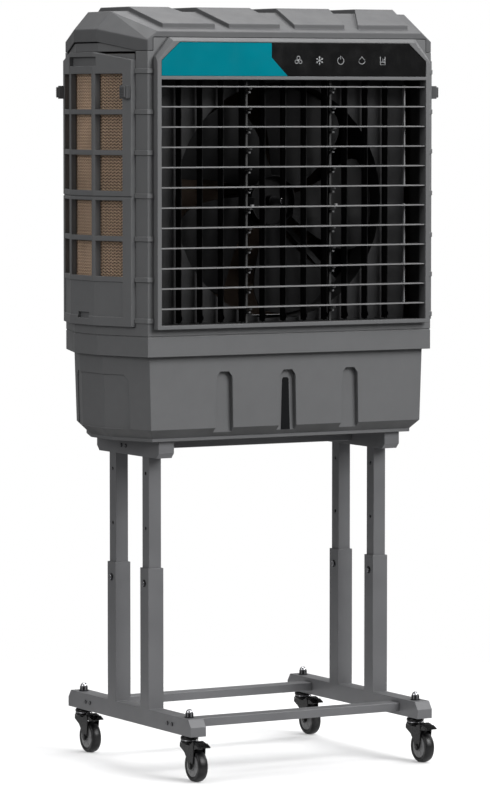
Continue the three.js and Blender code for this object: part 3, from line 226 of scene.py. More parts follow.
def moulded_plastic(name, colour, roughness=0.5, dust=0.12, wear=0.3, edge=0.0012, gloss=0.5,
                    painted_shade_from=None):
    """Injection-moulded plastic: grain, flow clouds, paler rubbed edges, dust on top and grime underneath.

    A shell that opens to the front gets painted shade behind a given place along its own Y, where shade falls
    inside it.
    """
    s = Surface(name)
    broad = s.spread(s.noise(3.5, 2), 0.3, 0.7)
    cloud = s.spread(s.noise(40, 3), 0.35, 0.65)
    fine = s.noise(GRAIN_SCALE, 2)
    tone = s.mix(broad, shade(colour, 0.95), shade(colour, 1.05))
    tone = s.mix(s.maths("MULTIPLY", cloud, 0.35), tone, shade(colour, 0.9))
    tone = s.mix(s.spread(fine, 0.35, 0.75, 0, 0.22), tone, shade(colour, 1.25))
    normal, rim = s.edges(edge)
    rubbed = s.maths("MULTIPLY", rim, s.spread(s.noise(160, 3), 0.4, 0.65, 0, wear))
    tone = s.mix(rubbed, tone, shade(colour, 1.8))
    settled = s.maths("MULTIPLY", s.facing(*FACING_UP), s.spread(s.noise(18, 5), 0.35, 0.75, 0, dust))
    tone = s.mix(settled, tone, DUST)
    # Painted shade: downward faces are darkened to a share of the plain colour.
    underside_shade = s.maths("MULTIPLY", s.facing(*PAINTED_SHADE_FACING), s.spread(s.noise(9, 4), 0.3, 0.7, 0.75, 1.0))
    tone = s.mix(underside_shade, tone, shade(colour, UNDERSIDE_SHADE_SHARE))
    # Painted shade: the shell is darkened deep inside, beyond the given depth.
    if painted_shade_from is not None:
        depth = s.add("ShaderNodeSeparateXYZ", {"Vector": s.place}).outputs["Y"]
        behind = s.spread(depth, painted_shade_from, painted_shade_from + 0.004)
        tone = s.mix(behind, tone, shade(colour, SHADED))
    rough = s.spread(s.noise(22, 4), 0.3, 0.7, roughness - 0.06, roughness + 0.07)
    rough = s.maths("ADD", rough, s.maths("MULTIPLY", settled, 0.5))
    return s.finish(tone, rough, s.bump(fine, GRAIN_DEPTH, normal), Specular_IOR_Level=gloss)


def powder_coat(name, colour, roughness=0.4):
    """Baked powder paint on steel tube: orange peel, metallic flecks and rubbed corners."""
    s = Surface(name)
    broad = s.spread(s.noise(5, 2), 0.3, 0.7)
    peel = s.noise(420, 1)
    fleck = s.spread(s.noise(2600, 1), 0.62, 0.75)
    tone = s.mix(broad, shade(colour, 0.94), shade(colour, 1.06))
    tone = s.mix(s.maths("MULTIPLY", fleck, 0.3), tone, shade(colour, 1.7))
    normal, rim = s.edges(0.0015)
    rubbed = s.maths("MULTIPLY", rim, s.spread(s.noise(90, 4), 0.45, 0.7, 0, 0.45))
    tone = s.mix(rubbed, tone, shade(colour, 1.9))
    rough = s.spread(s.noise(16, 4), 0.3, 0.7, roughness - 0.07, roughness + 0.08)
    return s.finish(tone, rough, s.bump(peel, 6e-5, normal), Metallic=0.15)


def bright_metal(name, colour, roughness, metallic=1.0, gloss=0.5):
    """Plated or black-oxided steel with fine handling scratches and smudges."""
    s = Surface(name)
    scratch = s.noise(700, 3, stretch=(1, 1, 12))
    smudge = s.spread(s.noise(60, 4), 0.3, 0.75)
    tone = s.mix(s.maths("MULTIPLY", smudge, 0.5), colour, shade(colour, 0.72))
    rough = s.spread(smudge, 0, 1, roughness, roughness + 0.12)
    rough = s.maths("ADD", s.spread(scratch, 0.3, 0.7, 0, 0.08), rough)
    normal, _ = s.edges(0.0004)
    return s.finish(tone, rough, s.bump(scratch, 8e-6, normal), Metallic=metallic, Specular_IOR_Level=gloss)


def rubber(name, colour):
    """Caster tyre: soft sheen, dusty tread and fine pores."""
    s = Surface(name)
    pores = s.noise(1900, 3)
    dusty = s.spread(s.noise(70, 5), 0.45, 0.8, 0, 0.08)
    tone = s.mix(dusty, colour, RUBBER_DUST)
    rough = s.spread(s.noise(110, 4), 0.3, 0.7, 0.26, 0.42)
    return s.finish(tone, rough, s.bump(pores, 6e-5), Specular_IOR_Level=0.3)


def glass_print(name, colour, roughness=0.14, gloss=0.22):
    """Back-printed glossy overlay with hair scratches and finger smears in its gloss."""
    s = Surface(name)
    smear = s.spread(s.noise(28, 5), 0.4, 0.75)
    scratch = s.spread(s.noise(500, 2, stretch=(1, 1, 25)), 0.66, 0.74)
    tone = s.mix(s.spread(s.noise(9, 2), 0.3, 0.7), shade(colour, 0.93), shade(colour, 1.07))
    tone = s.mix(s.spread(s.noise(2200, 1), 0.55, 0.8, 0, 0.25), tone, shade(colour, 1.35))
    rough = s.maths("ADD", s.maths("MULTIPLY", smear, 0.1), s.maths("MULTIPLY", scratch, 0.12))
    rough = s.maths("ADD", rough, roughness)
    return s.finish(tone, rough, s.bump(s.noise(60, 2), 3e-5), Specular_IOR_Level=gloss)


def cellulose(name, colour):
    """Resin-stiffened corrugated paper: fibres, water marks and darker soaked patches."""
    s = Surface(name)
    fibre = s.noise(900, 4, stretch=(1, 1, 0.3))
    mark = s.spread(s.noise(14, 5, stretch=(1, 1, 0.35)), 0.35, 0.7)
    tone = s.mix(mark, shade(colour, 0.8), shade(colour, 1.18))
    tone = s.mix(s.spread(fibre, 0.4, 0.75, 0, 0.5), tone, shade(colour, 1.5))
    return s.finish(tone, s.spread(fibre, 0.3, 0.7, 0.8, 0.95), s.bump(fibre, 2e-4))


GREY = (0.100, 0.1015, 0.1045)
BEZEL_FRONT = (NODES["front_bezel"].matrix_world.inverted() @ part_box("front_bezel")[0]).y
BEZEL_LIT = 0.026  # depth of the bezel that keeps its plain colour, before its painted shade starts
MATERIALS = {
    "cabinet": moulded_plastic("cabinet_plastic", GREY),
    # The bezel's plastic carries painted shade deep inside its outlet.
    "bezel": moulded_plastic("bezel_plastic", GREY, painted_shade_from=BEZEL_FRONT + BEZEL_LIT),
    "cover": moulded_plastic("cover_plastic", (0.084, 0.085, 0.088), dust=0.05, gloss=0.28),
    "slat": moulded_plastic("slat_plastic", (0.17, 0.17, 0.173), 0.42, edge=0.0006),
    "dark": moulded_plastic("dark_plastic", (0.022, 0.022, 0.023), 0.45),
    "latch": moulded_plastic("latch_plastic", (0.060, 0.061, 0.063), 0.42),
    "shroud": moulded_plastic("shroud_plastic", (0.026, 0.026, 0.027), 0.65, dust=0.04, gloss=0.2),
    "vane": moulded_plastic("vane_plastic", (0.0055, 0.0055, 0.006), 0.6, edge=0.0005, dust=0.03, gloss=0.15),
    "fan": moulded_plastic("fan_plastic", (0.0060, 0.0060, 0.0064), 0.6, dust=0.02, gloss=0.12),
    "stand": powder_coat("stand_paint", (0.120, 0.121, 0.126)),
    "motor": powder_coat("motor_paint", (0.020, 0.020, 0.022), 0.45),
    "black": bright_metal("black_steel", (0.003, 0.003, 0.0033), 0.16, metallic=0.0, gloss=0.22),
    "chrome": bright_metal("chrome_plate", (0.50, 0.50, 0.52), 0.10),
    "screw": bright_metal("black_screw", (0.02, 0.02, 0.022), 0.18, metallic=0.8),
    "tyre": rubber("tyre_rubber", (0.0035, 0.0035, 0.004)),
    "hub": moulded_plastic("hub_plastic", (0.150, 0.150, 0.152), 0.45, wear=0.15),
    "teal": glass_print("teal_overlay", (0.0, 0.166, 0.213), gloss=0.06),
    "overlay": glass_print("black_overlay", (0.004, 0.004, 0.0042)),
    "ink": glass_print("icon_ink", (0.52, 0.53, 0.54), 0.35),
    "window": glass_print("level_window", (0.008, 0.0085, 0.009), 0.08),
    "pad": cellulose("pad_cellulose", (0.56, 0.405, 0.29)),
    # Painted shade: dark brown on the pads' cores, standing for the shade deep in the cells.
    "painted_pad_shade": cellulose("painted_pad_shade", (0.06, 0.04, 0.028)),
}


# ---------------------------------------------------------------- mesh code
ON_AXIS = 1e-6  # a lathe's ring of a smaller radius is one point
SAME_POINT = 1e-7
SIDEWAYS, UPWARDS = Vector((0, 1, 0)), Vector((0, 0, 1))


def place_mesh(name, mesh, material, body, stands_for=()):
    """Makes a piece from a finished bmesh or (points, faces) and puts it on its body."""
    data = bpy.data.meshes.new(name)
    if isinstance(mesh, bmesh.types.BMesh):
        mesh.to_mesh(data)
        mesh.free()
    else:
        points, faces = mesh
        data.from_pydata(points, [], faces)
    data.materials.append(MATERIALS[material])
    data.polygons.foreach_set("use_smooth", [True] * len(data.polygons))
    data.validate()
    piece = bpy.data.objects.new(name, data)
    bpy.context.scene.collection.objects.link(piece)
    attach(piece, body)
    if stands_for:
        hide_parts(*stands_for)
    return piece


def round_edges(piece, width, segments=2, angle=30, smooth=True):
    bevel = piece.modifiers.new("rounded edges", "BEVEL")
    bevel.width, bevel.segments = width, segments
    bevel.limit_method, bevel.angle_limit = "ANGLE", math.radians(angle)
    bevel.use_clamp_overlap = False
    bevel.loop_slide = False
    bevel.miter_outer = "MITER_ARC"
    if smooth:
        normals = piece.modifiers.new("face normals", "WEIGHTED_NORMAL")
        normals.keep_sharp = True
    return piece


def join(meshes):
    """One bmesh out of several."""
    whole = bmesh.new()
    for mesh in meshes:
        spare = bpy.data.meshes.new("spare")
        mesh.to_mesh(spare)
        mesh.free()
        whole.from_mesh(spare)
        bpy.data.meshes.remove(spare)
    return whole


def moved(mesh, matrix):
    mesh.transform(matrix)
    return mesh


def prism(outline, span, axis="z"):
    """A closed prism; outline is in XY, XZ or YZ, and span runs along the remaining axis."""
    order = {"z": (0, 1, 2), "y": (0, 2, 1), "x": (2, 0, 1)}[axis]
    mesh = bmesh.new()
    rings = []
    for level in span:
        ring = []
        for a, b in outline:
            values = (a, b, level)
            ring.append(mesh.verts.new([values[i] for i in order]))
        rings.append(ring)
    count = len(outline)
    mesh.faces.new(rings[0])
    mesh.faces.new(rings[1])
    for i in range(count):
        mesh.faces.new((rings[0][i], rings[0][(i + 1) % count], rings[1][(i + 1) % count], rings[1][i]))
    bmesh.ops.recalc_face_normals(mesh, faces=mesh.faces)
    return mesh


def box_mesh(low, high):
    outline = [(low[0], low[1]), (high[0], low[1]), (high[0], high[1]), (low[0], high[1])]
    return prism(outline, (low[2], high[2]))


def lathe(profile, centre, axis, sides=48):
    """Turns a profile of (radius, place along the axis) about a line through centre.

    A profile that ends where it starts gives a ring. Any other one is closed by its end faces.
    """
    mesh = bmesh.new()
    rings = []
    for radius, along in profile:
        if radius < ON_AXIS:
            rings.append([mesh.verts.new((0, 0, along))])
            continue
        turns = [2 * math.pi * i / sides for i in range(sides)]
        rings.append([mesh.verts.new((radius * math.cos(t), radius * math.sin(t), along)) for t in turns])
    for first, second in zip(rings, rings[1:]):
        for i in range(sides):
            j = (i + 1) % sides
            if len(first) == 1 and len(second) > 1:
                mesh.faces.new((first[0], second[i], second[j]))
            elif len(second) == 1 and len(first) > 1:
                mesh.faces.new((first[i], first[j], second[0]))
            elif len(first) > 1:
                mesh.faces.new((first[i], first[j], second[j], second[i]))
    if profile[0] == profile[-1]:
        bmesh.ops.remove_doubles(mesh, verts=mesh.verts, dist=SAME_POINT)
    else:
        for ring in (rings[0], rings[-1]):
            if len(ring) > 1:
                mesh.faces.new(ring)
    bmesh.ops.recalc_face_normals(mesh, faces=mesh.faces)
    turn = {"z": Matrix.Identity(4), "x": Matrix.Rotation(math.pi / 2, 4, "Y"),
            "y": Matrix.Rotation(-math.pi / 2, 4, "X")}[axis]
    return moved(mesh, Matrix.Translation(centre) @ turn)


def hexagon(radius, span, centre, axis):
    return lathe([(radius, span[0]), (radius, span[1])], centre, axis, 6)


def mirrored(profile):
    """A lathe's profile turned over, so that it can follow the profile itself."""
    return [(radius, -along) for radius, along in reversed(profile)]


def sweep(points, radius, sides=6, closed=False):
    """A thin tube along points."""
    points = [Vector(p) for p in points]
    count = len(points)
    mesh = bmesh.new()
    rings = []
    for i, point in enumerate(points):
        before = points[(i - 1) % count] if closed or i else point
        after = points[(i + 1) % count] if closed or i < count - 1 else point
        along = (after - before).normalized()
        side = along.cross(SIDEWAYS)
        if side.length < 1e-3:
            side = along.cross(UPWARDS)
        side.normalize()
        up = along.cross(side)
        ring = []
        for k in range(sides):
            turn = 2 * math.pi * k / sides
            ring.append(mesh.verts.new(point + (side * math.cos(turn) + up * math.sin(turn)) * radius))
        rings.append(ring)
    for i in range(count if closed else count - 1):
        first, second = rings[i], rings[(i + 1) % count]
        for k in range(sides):
            mesh.faces.new((first[k], first[(k + 1) % sides], second[(k + 1) % sides], second[k]))
    if not closed:
        mesh.faces.new(rings[0])
        mesh.faces.new(rings[-1])
    bmesh.ops.recalc_face_normals(mesh, faces=mesh.faces)
    return mesh


# ---------------------------------------------------------------- CAD nodes that stay
def dress(name, material, bevel=0.0012, segments=2, curved=False):
    """Gives a CAD node rounded edges and its material. Only curved nodes are shaded smooth."""
    piece = NODES[name]
    stored = piece.data.attributes.get("custom_normal")
    if stored:
        piece.data.attributes.remove(stored)
    piece.data.polygons.foreach_set("use_smooth", [curved] * len(piece.data.polygons))
    weld = piece.modifiers.new("joined corners", "WELD")
    weld.merge_threshold = 1e-5
    if bevel:
        round_edges(piece, bevel, segments, smooth=curved)
    piece.data.materials.clear()
    piece.data.materials.append(MATERIALS[material])


def dress_frame():
    for name in ("cabinet_shell", "water_tank", "left_panel", "right_panel", "rear_panel"):
        dress(name, "cabinet", 0.0008)
    dress("front_bezel", "bezel", 0.0008)
    dress("top_cover", "cover", 0.0018, 3)
    for name in ("base_frame_left", "base_frame_right", "upper_frame_left", "upper_frame_right"):
        dress(name, "stand", 0)
    for name in ("base_rail_front", "base_rail_rear", "upper_rail"):
        dress(name, "stand", 0.0014, 3)
    for number in range(1, SLAT_COUNT + 1):
        dress(f"louvre_{number:02d}", "slat", 0.0005)
    for name in ("upper_link", "lower_link"):
        dress(name, "slat", 0.0005)
    for number in range(1, VANE_COUNT + 1):
        dress(f"vane_{number:02d}", "vane", 0.0004)
    dress("fan_shroud", "shroud", 0.0006, curved=True)
    dress("fan_motor", "motor", 0.0015, curved=True)
    dress("water_distributor", "dark", 0.0008)
    dress("pump", "dark", 0.0012, curved=True)


# ---------------------------------------------------------------- casters
CROWN_STEPS, CROWN_FALL, CROWN_POWER = 12, 0.0052, 0.7  # a tread's rounding: steps, drop at its sides, shape
HUB_RIBS = 6
FORK_GAP, CHEEK = 0.0018, 0.0025  # between wheel and cheek, and the cheek's thickness
HEAD_HEIGHT = 0.0205  # of the fork's ball race
PRESSED = 0.004  # thickness of the fork's top plate
STEM_SEAT = 0.010  # the base beams' tops above the rails' tops


def fork_faces(corner):
    """Distances of a cheek's inner and outer faces from the wheel's middle."""
    low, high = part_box(f"caster_wheel_{corner}")
    inner = (high.x - low.x) / 2 + FORK_GAP
    return inner, inner + CHEEK


def caster_wheel(corner):
    """Tyre with a crowned tread and a moulded hub with a dust ring, web, ribs and bearing seat."""
    node, body = f"caster_wheel_{corner}", f"wheel_{corner}"
    low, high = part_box(node)
    centre = PIVOTS[f"roll_{corner}"]
    radius, half = (high.z - low.z) / 2, (high.x - low.x) / 2
    seat, bore, boss, web = radius * 0.70, 0.0048, 0.0105, half * 0.88
    crown = []
    for i in range(CROWN_STEPS + 1):
        turn = math.pi * (i / CROWN_STEPS - 0.5)
        fall = CROWN_FALL * (1 - max(0.0, math.cos(turn)) ** CROWN_POWER)
        crown.append((radius - fall, half * math.sin(turn)))
    shoulder = [(seat, -half * 0.86), (seat + 0.002, -half * 0.97)]
    tyre = [*shoulder, *crown, *mirrored(shoulder), shoulder[0]]
    place_mesh(f"tyre_{corner}", lathe(tyre, centre, "x", 72), "tyre", body, [node])
    face = [(bore, -half * 0.98), (boss - 0.001, -half * 0.98), (boss, -half * 0.86), (boss, -web),
            (seat - 0.004, -web), (seat - 0.002, -half * 0.93), (seat - 0.0002, -half * 0.93)]
    hub = [*face, *mirrored(face), face[0]]
    piece = place_mesh(f"hub_{corner}", lathe(hub, centre, "x", 64), "hub", body)
    round_edges(piece, 0.0004)
    ribs = []
    for side in (-1, 1):
        at = Matrix.Translation(centre + Vector((side * half * 0.885, 0, 0)))
        for k in range(HUB_RIBS):
            rib = box_mesh((-0.0006, boss + 0.0007, -0.0007), (0.0006, seat - 0.005, 0.0007))
            ribs.append(moved(rib, at @ Matrix.Rotation(k * 2 * math.pi / HUB_RIBS, 4, "X")))
    round_edges(place_mesh(f"hub_ribs_{corner}", join(ribs), "hub", body), 0.0002, 1)


def caster_fork(corner):
    """Pressed black fork: a top plate and two cheeks that sweep back to the axle."""
    node, body = f"caster_fork_{corner}", f"caster_{corner}"
    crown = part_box(node)[1].z - HEAD_HEIGHT
    axis, hub = PIVOTS[f"swivel_{corner}"], PIVOTS[f"roll_{corner}"]
    inner, outer = fork_faces(corner)
    sweep_back = [(0.017, crown + 0.004), (0.006, crown + 0.0045), (-0.030, crown + 0.0045),
                  (-0.0445, crown + 0.0085), (-0.0475, crown + 0.004), (-0.0485, crown - 0.008),
                  (-0.0455, hub.z + 0.012), (-0.0425, hub.z - 0.001), (-0.0385, hub.z - 0.0065),
                  (-0.0330, hub.z - 0.0085), (-0.0272, hub.z - 0.0065), (-0.0230, hub.z - 0.001),
                  (-0.0160, hub.z + 0.014), (-0.004, crown - 0.018), (0.010, crown - 0.011),
                  (0.018, crown - 0.007)]
    outline = [(axis.y + y, z) for y, z in sweep_back]
    cheeks = [prism(outline, (axis.x + s * inner, axis.x + s * outer), "x") for s in (-1, 1)]
    plate = box_mesh((axis.x - outer, axis.y - 0.031, crown),
                     (axis.x + outer, axis.y + 0.0165, crown + PRESSED))
    fork = place_mesh(f"fork_{corner}", join([plate, *cheeks]), "black", body, [node])
    round_edges(fork, 0.0009, 3)


def ball_race(corner):
    """Two-row ball race on top of a fork, with a plated seal between the rows."""
    body = f"caster_{corner}"
    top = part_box(f"caster_fork_{corner}")[1].z
    crown = top - HEAD_HEIGHT
    axis = PIVOTS[f"swivel_{corner}"]
    bore = 0.0065
    race = [(bore, crown + 0.001), (0.0180, crown + 0.001), (0.0205, crown + 0.003), (0.0209, crown + 0.007),
            (0.0200, crown + 0.0086), (0.0190, crown + 0.0094), (0.0198, crown + 0.0104),
            (0.0207, crown + 0.0125), (0.0207, top - 0.0045), (0.0190, top - 0.0022), (0.0150, top - 0.0008),
            (bore, top - 0.0002), (bore, crown + 0.001)]
    head = lathe([(r, z - axis.z) for r, z in race], axis, "z", 56)
    place_mesh(f"ball_race_{corner}", head, "black", body)
    seal = [(0.0190, crown + 0.0084), (0.0203, crown + 0.0094), (0.0190, crown + 0.0105)]
    ring = lathe(seal, (axis.x, axis.y, 0), "z", 56)
    place_mesh(f"race_seal_{corner}", ring, "chrome", body)


def axle_bolt(corner):
    """Axle through the wheel, with a washer and a hexagon on each cheek."""
    hub = PIVOTS[f"roll_{corner}"]
    outer = fork_faces(corner)[1]
    hexagon_end, washer_end, shank_end = outer + 0.0029, outer + 0.0007, outer + 0.0010
    bolts = []
    for s in (-1, 1):
        bolts.append(hexagon(0.0064, sorted((s * outer, s * hexagon_end)), hub, "x"))
        bolts.append(lathe([(0.0085, s * outer), (0.0085, s * washer_end)], hub, "x", 32))
    bolts.append(lathe([(0.0040, -shank_end), (0.0040, shank_end)], hub, "x", 24))
    piece = place_mesh(f"axle_{corner}", join(bolts), "black", f"caster_{corner}")
    round_edges(piece, 0.0005)


def caster_brake(corner):
    """Pressed brake pedal: a barrel on its pins, a sloping neck and a wider tread."""
    node, body = f"caster_brake_{corner}", f"brake_{corner}"
    pedal = PIVOTS[f"brake_press_{corner}"]
    inner, outer = fork_faces(corner)
    barrel = lathe([(0.0041, -inner + 0.0005), (0.0041, inner - 0.0005)], pedal, "x", 28)
    pins = lathe([(0.0017, -outer), (0.0017, outer)], pedal, "x", 20)
    neck = [(0.001, 0.0038), (-0.008, 0.0026), (-0.016, 0.0002), (-0.024, -0.0030), (-0.0312, -0.0062),
            (-0.0318, -0.0092)]
    plates = [barrel, pins]
    strips = ((neck, inner - 0.0006, 0.0004, 0.0026), (neck[2:], outer - 0.0002, 0.0005, 0.0024))
    for line, reach, back, drop in strips:
        underside = [(y + back, z - drop) for y, z in reversed(line[:-1])]
        outline = [(pedal.y + y, pedal.z + z) for y, z in line + underside]
        plates.append(prism(outline, (pedal.x - reach, pedal.x + reach), "x"))
    round_edges(place_mesh(f"pedal_{corner}", join(plates), "black", body, [node]), 0.0006, 3)


def stem_nut(corner):
    """Dark washer and hexagon with a domed chrome cap, above a base beam."""
    axis = PIVOTS[f"swivel_{corner}"]
    at = Vector((axis.x, axis.y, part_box("base_rail_front")[1].z + STEM_SEAT))
    disc = [(0, 0.0001), (0.0113, 0.0001), (0.0116, 0.0006), (0.0116, 0.0019), (0.0112, 0.0024), (0, 0.0024)]
    place_mesh(f"stem_washer_{corner}", lathe(disc, at, "z", 40), "screw", "base")
    top = 0.0112
    nut = hexagon(0.0098, (0.0022, top), at, "z")
    round_edges(place_mesh(f"stem_nut_{corner}", nut, "screw", "base"), 0.0008, 3)
    steps = [math.pi / 2 * i / 10 for i in range(11)]
    dome = [(0, top - 0.0004), *[(0.0084 * math.cos(a), top + 0.0089 * math.sin(a)) for a in steps]]
    place_mesh(f"nut_dome_{corner}", lathe(dome, at, "z", 40), "chrome", "base")


def make_casters():
    for corner in CORNERS:
        caster_wheel(corner)
        caster_fork(corner)
        ball_race(corner)
        axle_bolt(corner)
        caster_brake(corner)
        stem_nut(corner)


# ---------------------------------------------------------------- stand fasteners
def pan_head(at, side):
    """Pan-head screw with a round socket, on an outer face along X."""
    radius, height, socket = 0.0048, 0.0031, 0.0022
    steps = [math.pi / 2 * i / 6 for i in range(7)]
    rounded = [(socket + (radius - socket) * math.cos(a), height * math.sin(a)) for a in steps]
    profile = [(0, -0.0006), (radius, -0.0006), *rounded, (socket, height * 0.45), (0, height * 0.45)]
    head = lathe(profile, (0, 0, 0), "z", 24)
    return moved(head, Matrix.Translation(at) @ Matrix.Rotation(side * math.pi / 2, 4, "Y"))


def screw_pair(rail, face, side):
    """The two screws that hold one end of a rail, in the beam's outer face."""
    low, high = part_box(rail)
    middle = (low + high) / 2
    return [pan_head(Vector((face, middle.y + end * SCREW_REACH, middle.z)), side) for end in (-1, 1)]


def stand_fasteners():
    beam_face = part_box("base_rail_front")[1].x + RAIL_GAP + TUBE
    for word, side in SIDES.items():
        face = side * beam_face
        rows = screw_pair("base_rail_front", face, side) + screw_pair("base_rail_rear", face, side)
        place_mesh(f"rail_screws_{word}", join(rows), "screw", "base")
        rows = screw_pair("upper_rail", face, side)
        place_mesh(f"upper_screws_{word}", join(rows), "screw", "upper")
        leg_bolts(word)


def leg_bolts(word):
    """Hexagon bolts, washers and nuts that clamp the legs in their sleeves."""
    low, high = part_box(f"base_frame_{word}")
    beam = (low.x + high.x) / 2
    bolts, washers = [], []
    for end in (-1, 1):
        for face in (-1, 1):
            at = Vector((beam + face * TUBE / 2, MIDDLE_Y + end * LEG_REACH, high.z - BOLT_DROP))
            turn = Matrix.Translation(at) @ Matrix.Rotation(face * math.pi / 2, 4, "Y")
            bolts.append(moved(hexagon(0.0063, (0.0009, 0.0053), (0, 0, 0), "z"), turn))
            washers.append(moved(lathe([(0.0086, 0), (0.0086, 0.0011)], (0, 0, 0), "z", 32), turn))
    round_edges(place_mesh(f"leg_bolts_{word}", join(bolts), "chrome", "base"), 0.0006, 3)
    round_edges(place_mesh(f"leg_washers_{word}", join(washers), "screw", "base"), 0.0003)


# ---------------------------------------------------------------- control panel
CHAMFER_X, CHAMFER_Z = 0.048, 0.042  # the panel's cut upper corners
SPLIT_TOP, SPLIT_FOOT = -0.065, -0.022  # the border of the two fields, across at their top and foot
SPLIT_KNEE = 0.034  # from the top down to the border's knee
FIELD_GAP = 0.0001
ICON_SIZE, ICON_LINE, ICON_PROUD = 0.0108, 0.00054, 0.00005  # half height, half a line's width, lift
ICON_PLACES = {"fan": 0.0065, "cool": 0.0635, "power": 0.121, "swing": 0.179, "water": 0.236}


def control_panel():
    """Glossy overlay: a teal field with a slanted end, a black field and five line icons."""
    low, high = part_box("control_panel")
    back, front = high.y, low.y
    knee, shoulder = high.z - SPLIT_KNEE, high.z - CHAMFER_Z
    teal = [(low.x, low.z), (SPLIT_FOOT, low.z), (SPLIT_TOP, knee), (SPLIT_TOP, high.z),
            (low.x + CHAMFER_X, high.z), (low.x, shoulder)]
    black = [(SPLIT_FOOT + FIELD_GAP, low.z), (high.x, low.z), (high.x, shoulder),
             (high.x - CHAMFER_X, high.z), (SPLIT_TOP + FIELD_GAP, high.z), (SPLIT_TOP + FIELD_GAP, knee)]
    field = prism(teal, (front, back), "y")
    field = place_mesh("teal_overlay", field, "teal", "upper", ["control_panel"])
    round_edges(field, 0.0004)
    field = prism(black, (front, back), "y")
    round_edges(place_mesh("black_overlay", field, "overlay", "upper"), 0.0004)
    middle = (low.z + high.z) / 2 - 0.002
    for name, strokes in icons().items():
        lines = []
        for points, closed in strokes:
            path = [(ICON_PLACES[name] + ICON_SIZE * a, front - ICON_PROUD, middle + ICON_SIZE * b)
                    for a, b in points]
            lines.append(sweep(path, ICON_LINE, closed=closed))
        place_mesh(f"icon_{name}", join(lines), "ink", "upper")


def on_circle(radius, turn, centre=(0, 0)):
    angle = math.radians(turn)
    return centre[0] + radius * math.cos(angle), centre[1] + radius * math.sin(angle)


def arc(radius, start, end, centre=(0, 0), steps=16):
    return [on_circle(radius, start + (end - start) * i / steps, centre) for i in range(steps + 1)]


def icons():
    """Generic line symbols: name to [(points, closed)], within 1 of their middle."""
    petals = []
    for turn in (90, 210, 330):
        middle = on_circle(0.55, turn)
        petals.append((arc(0.38, turn - 180, turn + 150, middle, 18), False))
    flake = [([on_circle(-1, turn), on_circle(1, turn)], False) for turn in (30, 90, 150)]
    for turn in range(30, 390, 60):
        base = on_circle(0.55, turn)
        for lean in (-35, 35):
            tip = on_circle(0.32, turn + lean)
            flake.append(([base, (base[0] + tip[0], base[1] + tip[1])], False))
    return {
        "fan": [*petals, (arc(0.12, 0, 330, steps=10), True)],
        "cool": flake,
        "power": [(arc(0.78, 118, 422), False), ([(0, 1.0), (0, 0.25)], False)],
        "swing": [(arc(0.85, 200, 340, (0, 0.15)), False), ([(-0.75, 0.1), (0, 0.9), (0.75, 0.1)], False)],
        "water": [([(-0.6, 0.9), (-0.6, -0.85), (0.6, -0.85), (0.6, 0.9)], False),
                  ([(-0.6, -0.25), (0.6, -0.25)], False), ([(0.05, -0.25), (0.05, 0.45)], False),
                  ([(0.6, 0.3), (0.3, 0.3)], False)],
    }


# ---------------------------------------------------------------- fan
BLADES = 5
HUB_RADIUS, HUB_DEPTH, HUB_WALL = 0.060, 0.054, 0.003
BLADE_SPANS, BLADE_CHORDS, BLADE_THICKNESS = 14, 12, 0.0028
MOTOR_RIBS = 28


def fan_rotor():
    """Five swept, cambered blades on a hollow hub with a spinner cap, and the shaft."""
    low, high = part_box("fan_rotor")
    centre = PIVOTS["fan_spin"]
    front, back = low.y, low.y + HUB_DEPTH
    inside, floor = HUB_RADIUS - HUB_WALL, back - 0.02
    hub = [(0, front), (0.020, front + 0.0006), (0.036, front + 0.002), (0.050, front + 0.006),
           (inside, front + 0.011), (HUB_RADIUS, front + 0.018), (HUB_RADIUS, back), (inside, back),
           (inside, floor), (0.012, floor), (0.012, back), (0, back)]
    body = lathe([(r, centre.y - y) for r, y in hub], centre, "y", 72)
    round_edges(place_mesh("fan_hub", body, "fan", "fan", ["fan_rotor"]), 0.0008)
    shaft = lathe([(0.0078, centre.y - back + 0.03), (0.0078, centre.y - high.y)], centre, "y", 32)
    round_edges(place_mesh("fan_shaft", shaft, "chrome", "fan"), 0.0006)
    blades = []
    for number in range(BLADES):
        blade = fan_blade(centre, back - 0.028, inside, (high.z - low.z) / 2)
        turn = Matrix.Rotation(number * 2 * math.pi / BLADES + 0.3, 4, "Y")
        blades.append(moved(blade, Matrix.Translation(centre) @ turn @ Matrix.Translation(-centre)))
    piece = place_mesh("fan_blades", join(blades), "fan", "fan")
    thicken(piece, BLADE_THICKNESS)
    round_edges(piece, 0.0008)


def fan_blade(centre, middle, root, tip):
    """One blade's middle surface: swept, flatter towards its tip, and with its tip's corners drawn in."""
    mesh = bmesh.new()
    grid = []
    for i in range(BLADE_SPANS + 1):
        out = i / BLADE_SPANS
        radius = root + out * (tip - root)
        spread = 0.46 + 0.05 * out - 0.12 * out ** 8
        rise = 0.024 * (1 - 0.45 * out)
        row = []
        for j in range(BLADE_CHORDS + 1):
            along = 2 * j / BLADE_CHORDS - 1
            angle = 0.28 * out + spread * along
            camber = 0.007 * (1 - along * along)
            reach = radius * (1 - 0.035 * out ** 6 * along * along)
            row.append(mesh.verts.new((centre.x + reach * math.cos(angle), middle + rise * along - camber,
                                       centre.z + reach * math.sin(angle))))
        grid.append(row)
    for first, second in zip(grid, grid[1:]):
        for j in range(BLADE_CHORDS):
            mesh.faces.new((first[j], second[j], second[j + 1], first[j + 1]))
    return mesh


# ---------------------------------------------------------------- pads
FLUTE_DEPTH = 0.0028
FLUTE_SLANT, FLUTE_SWING = 0.6, 0.47  # a flute's rise with depth, and its swing as a share of the pitch
POINTS_PER_FLUTE = 6
PAPER = 0.0009
CORE_GAP = 0.0004  # between the flutes and the dark core
SIDE_SHEETS, REAR_SHEETS = (0.0058, 0.0072), (0.0062, 0.0105)  # pitch of the sheets, length of a flute
SIDE_CORE, REAR_CORE = 0.030, 0.038  # depth of the core's back
PAD_FACE = 0.0006  # the flutes behind the CAD pad's face
SEAL, SEAL_HEIGHT = 0.0012, 0.036  # a side pad's head strip


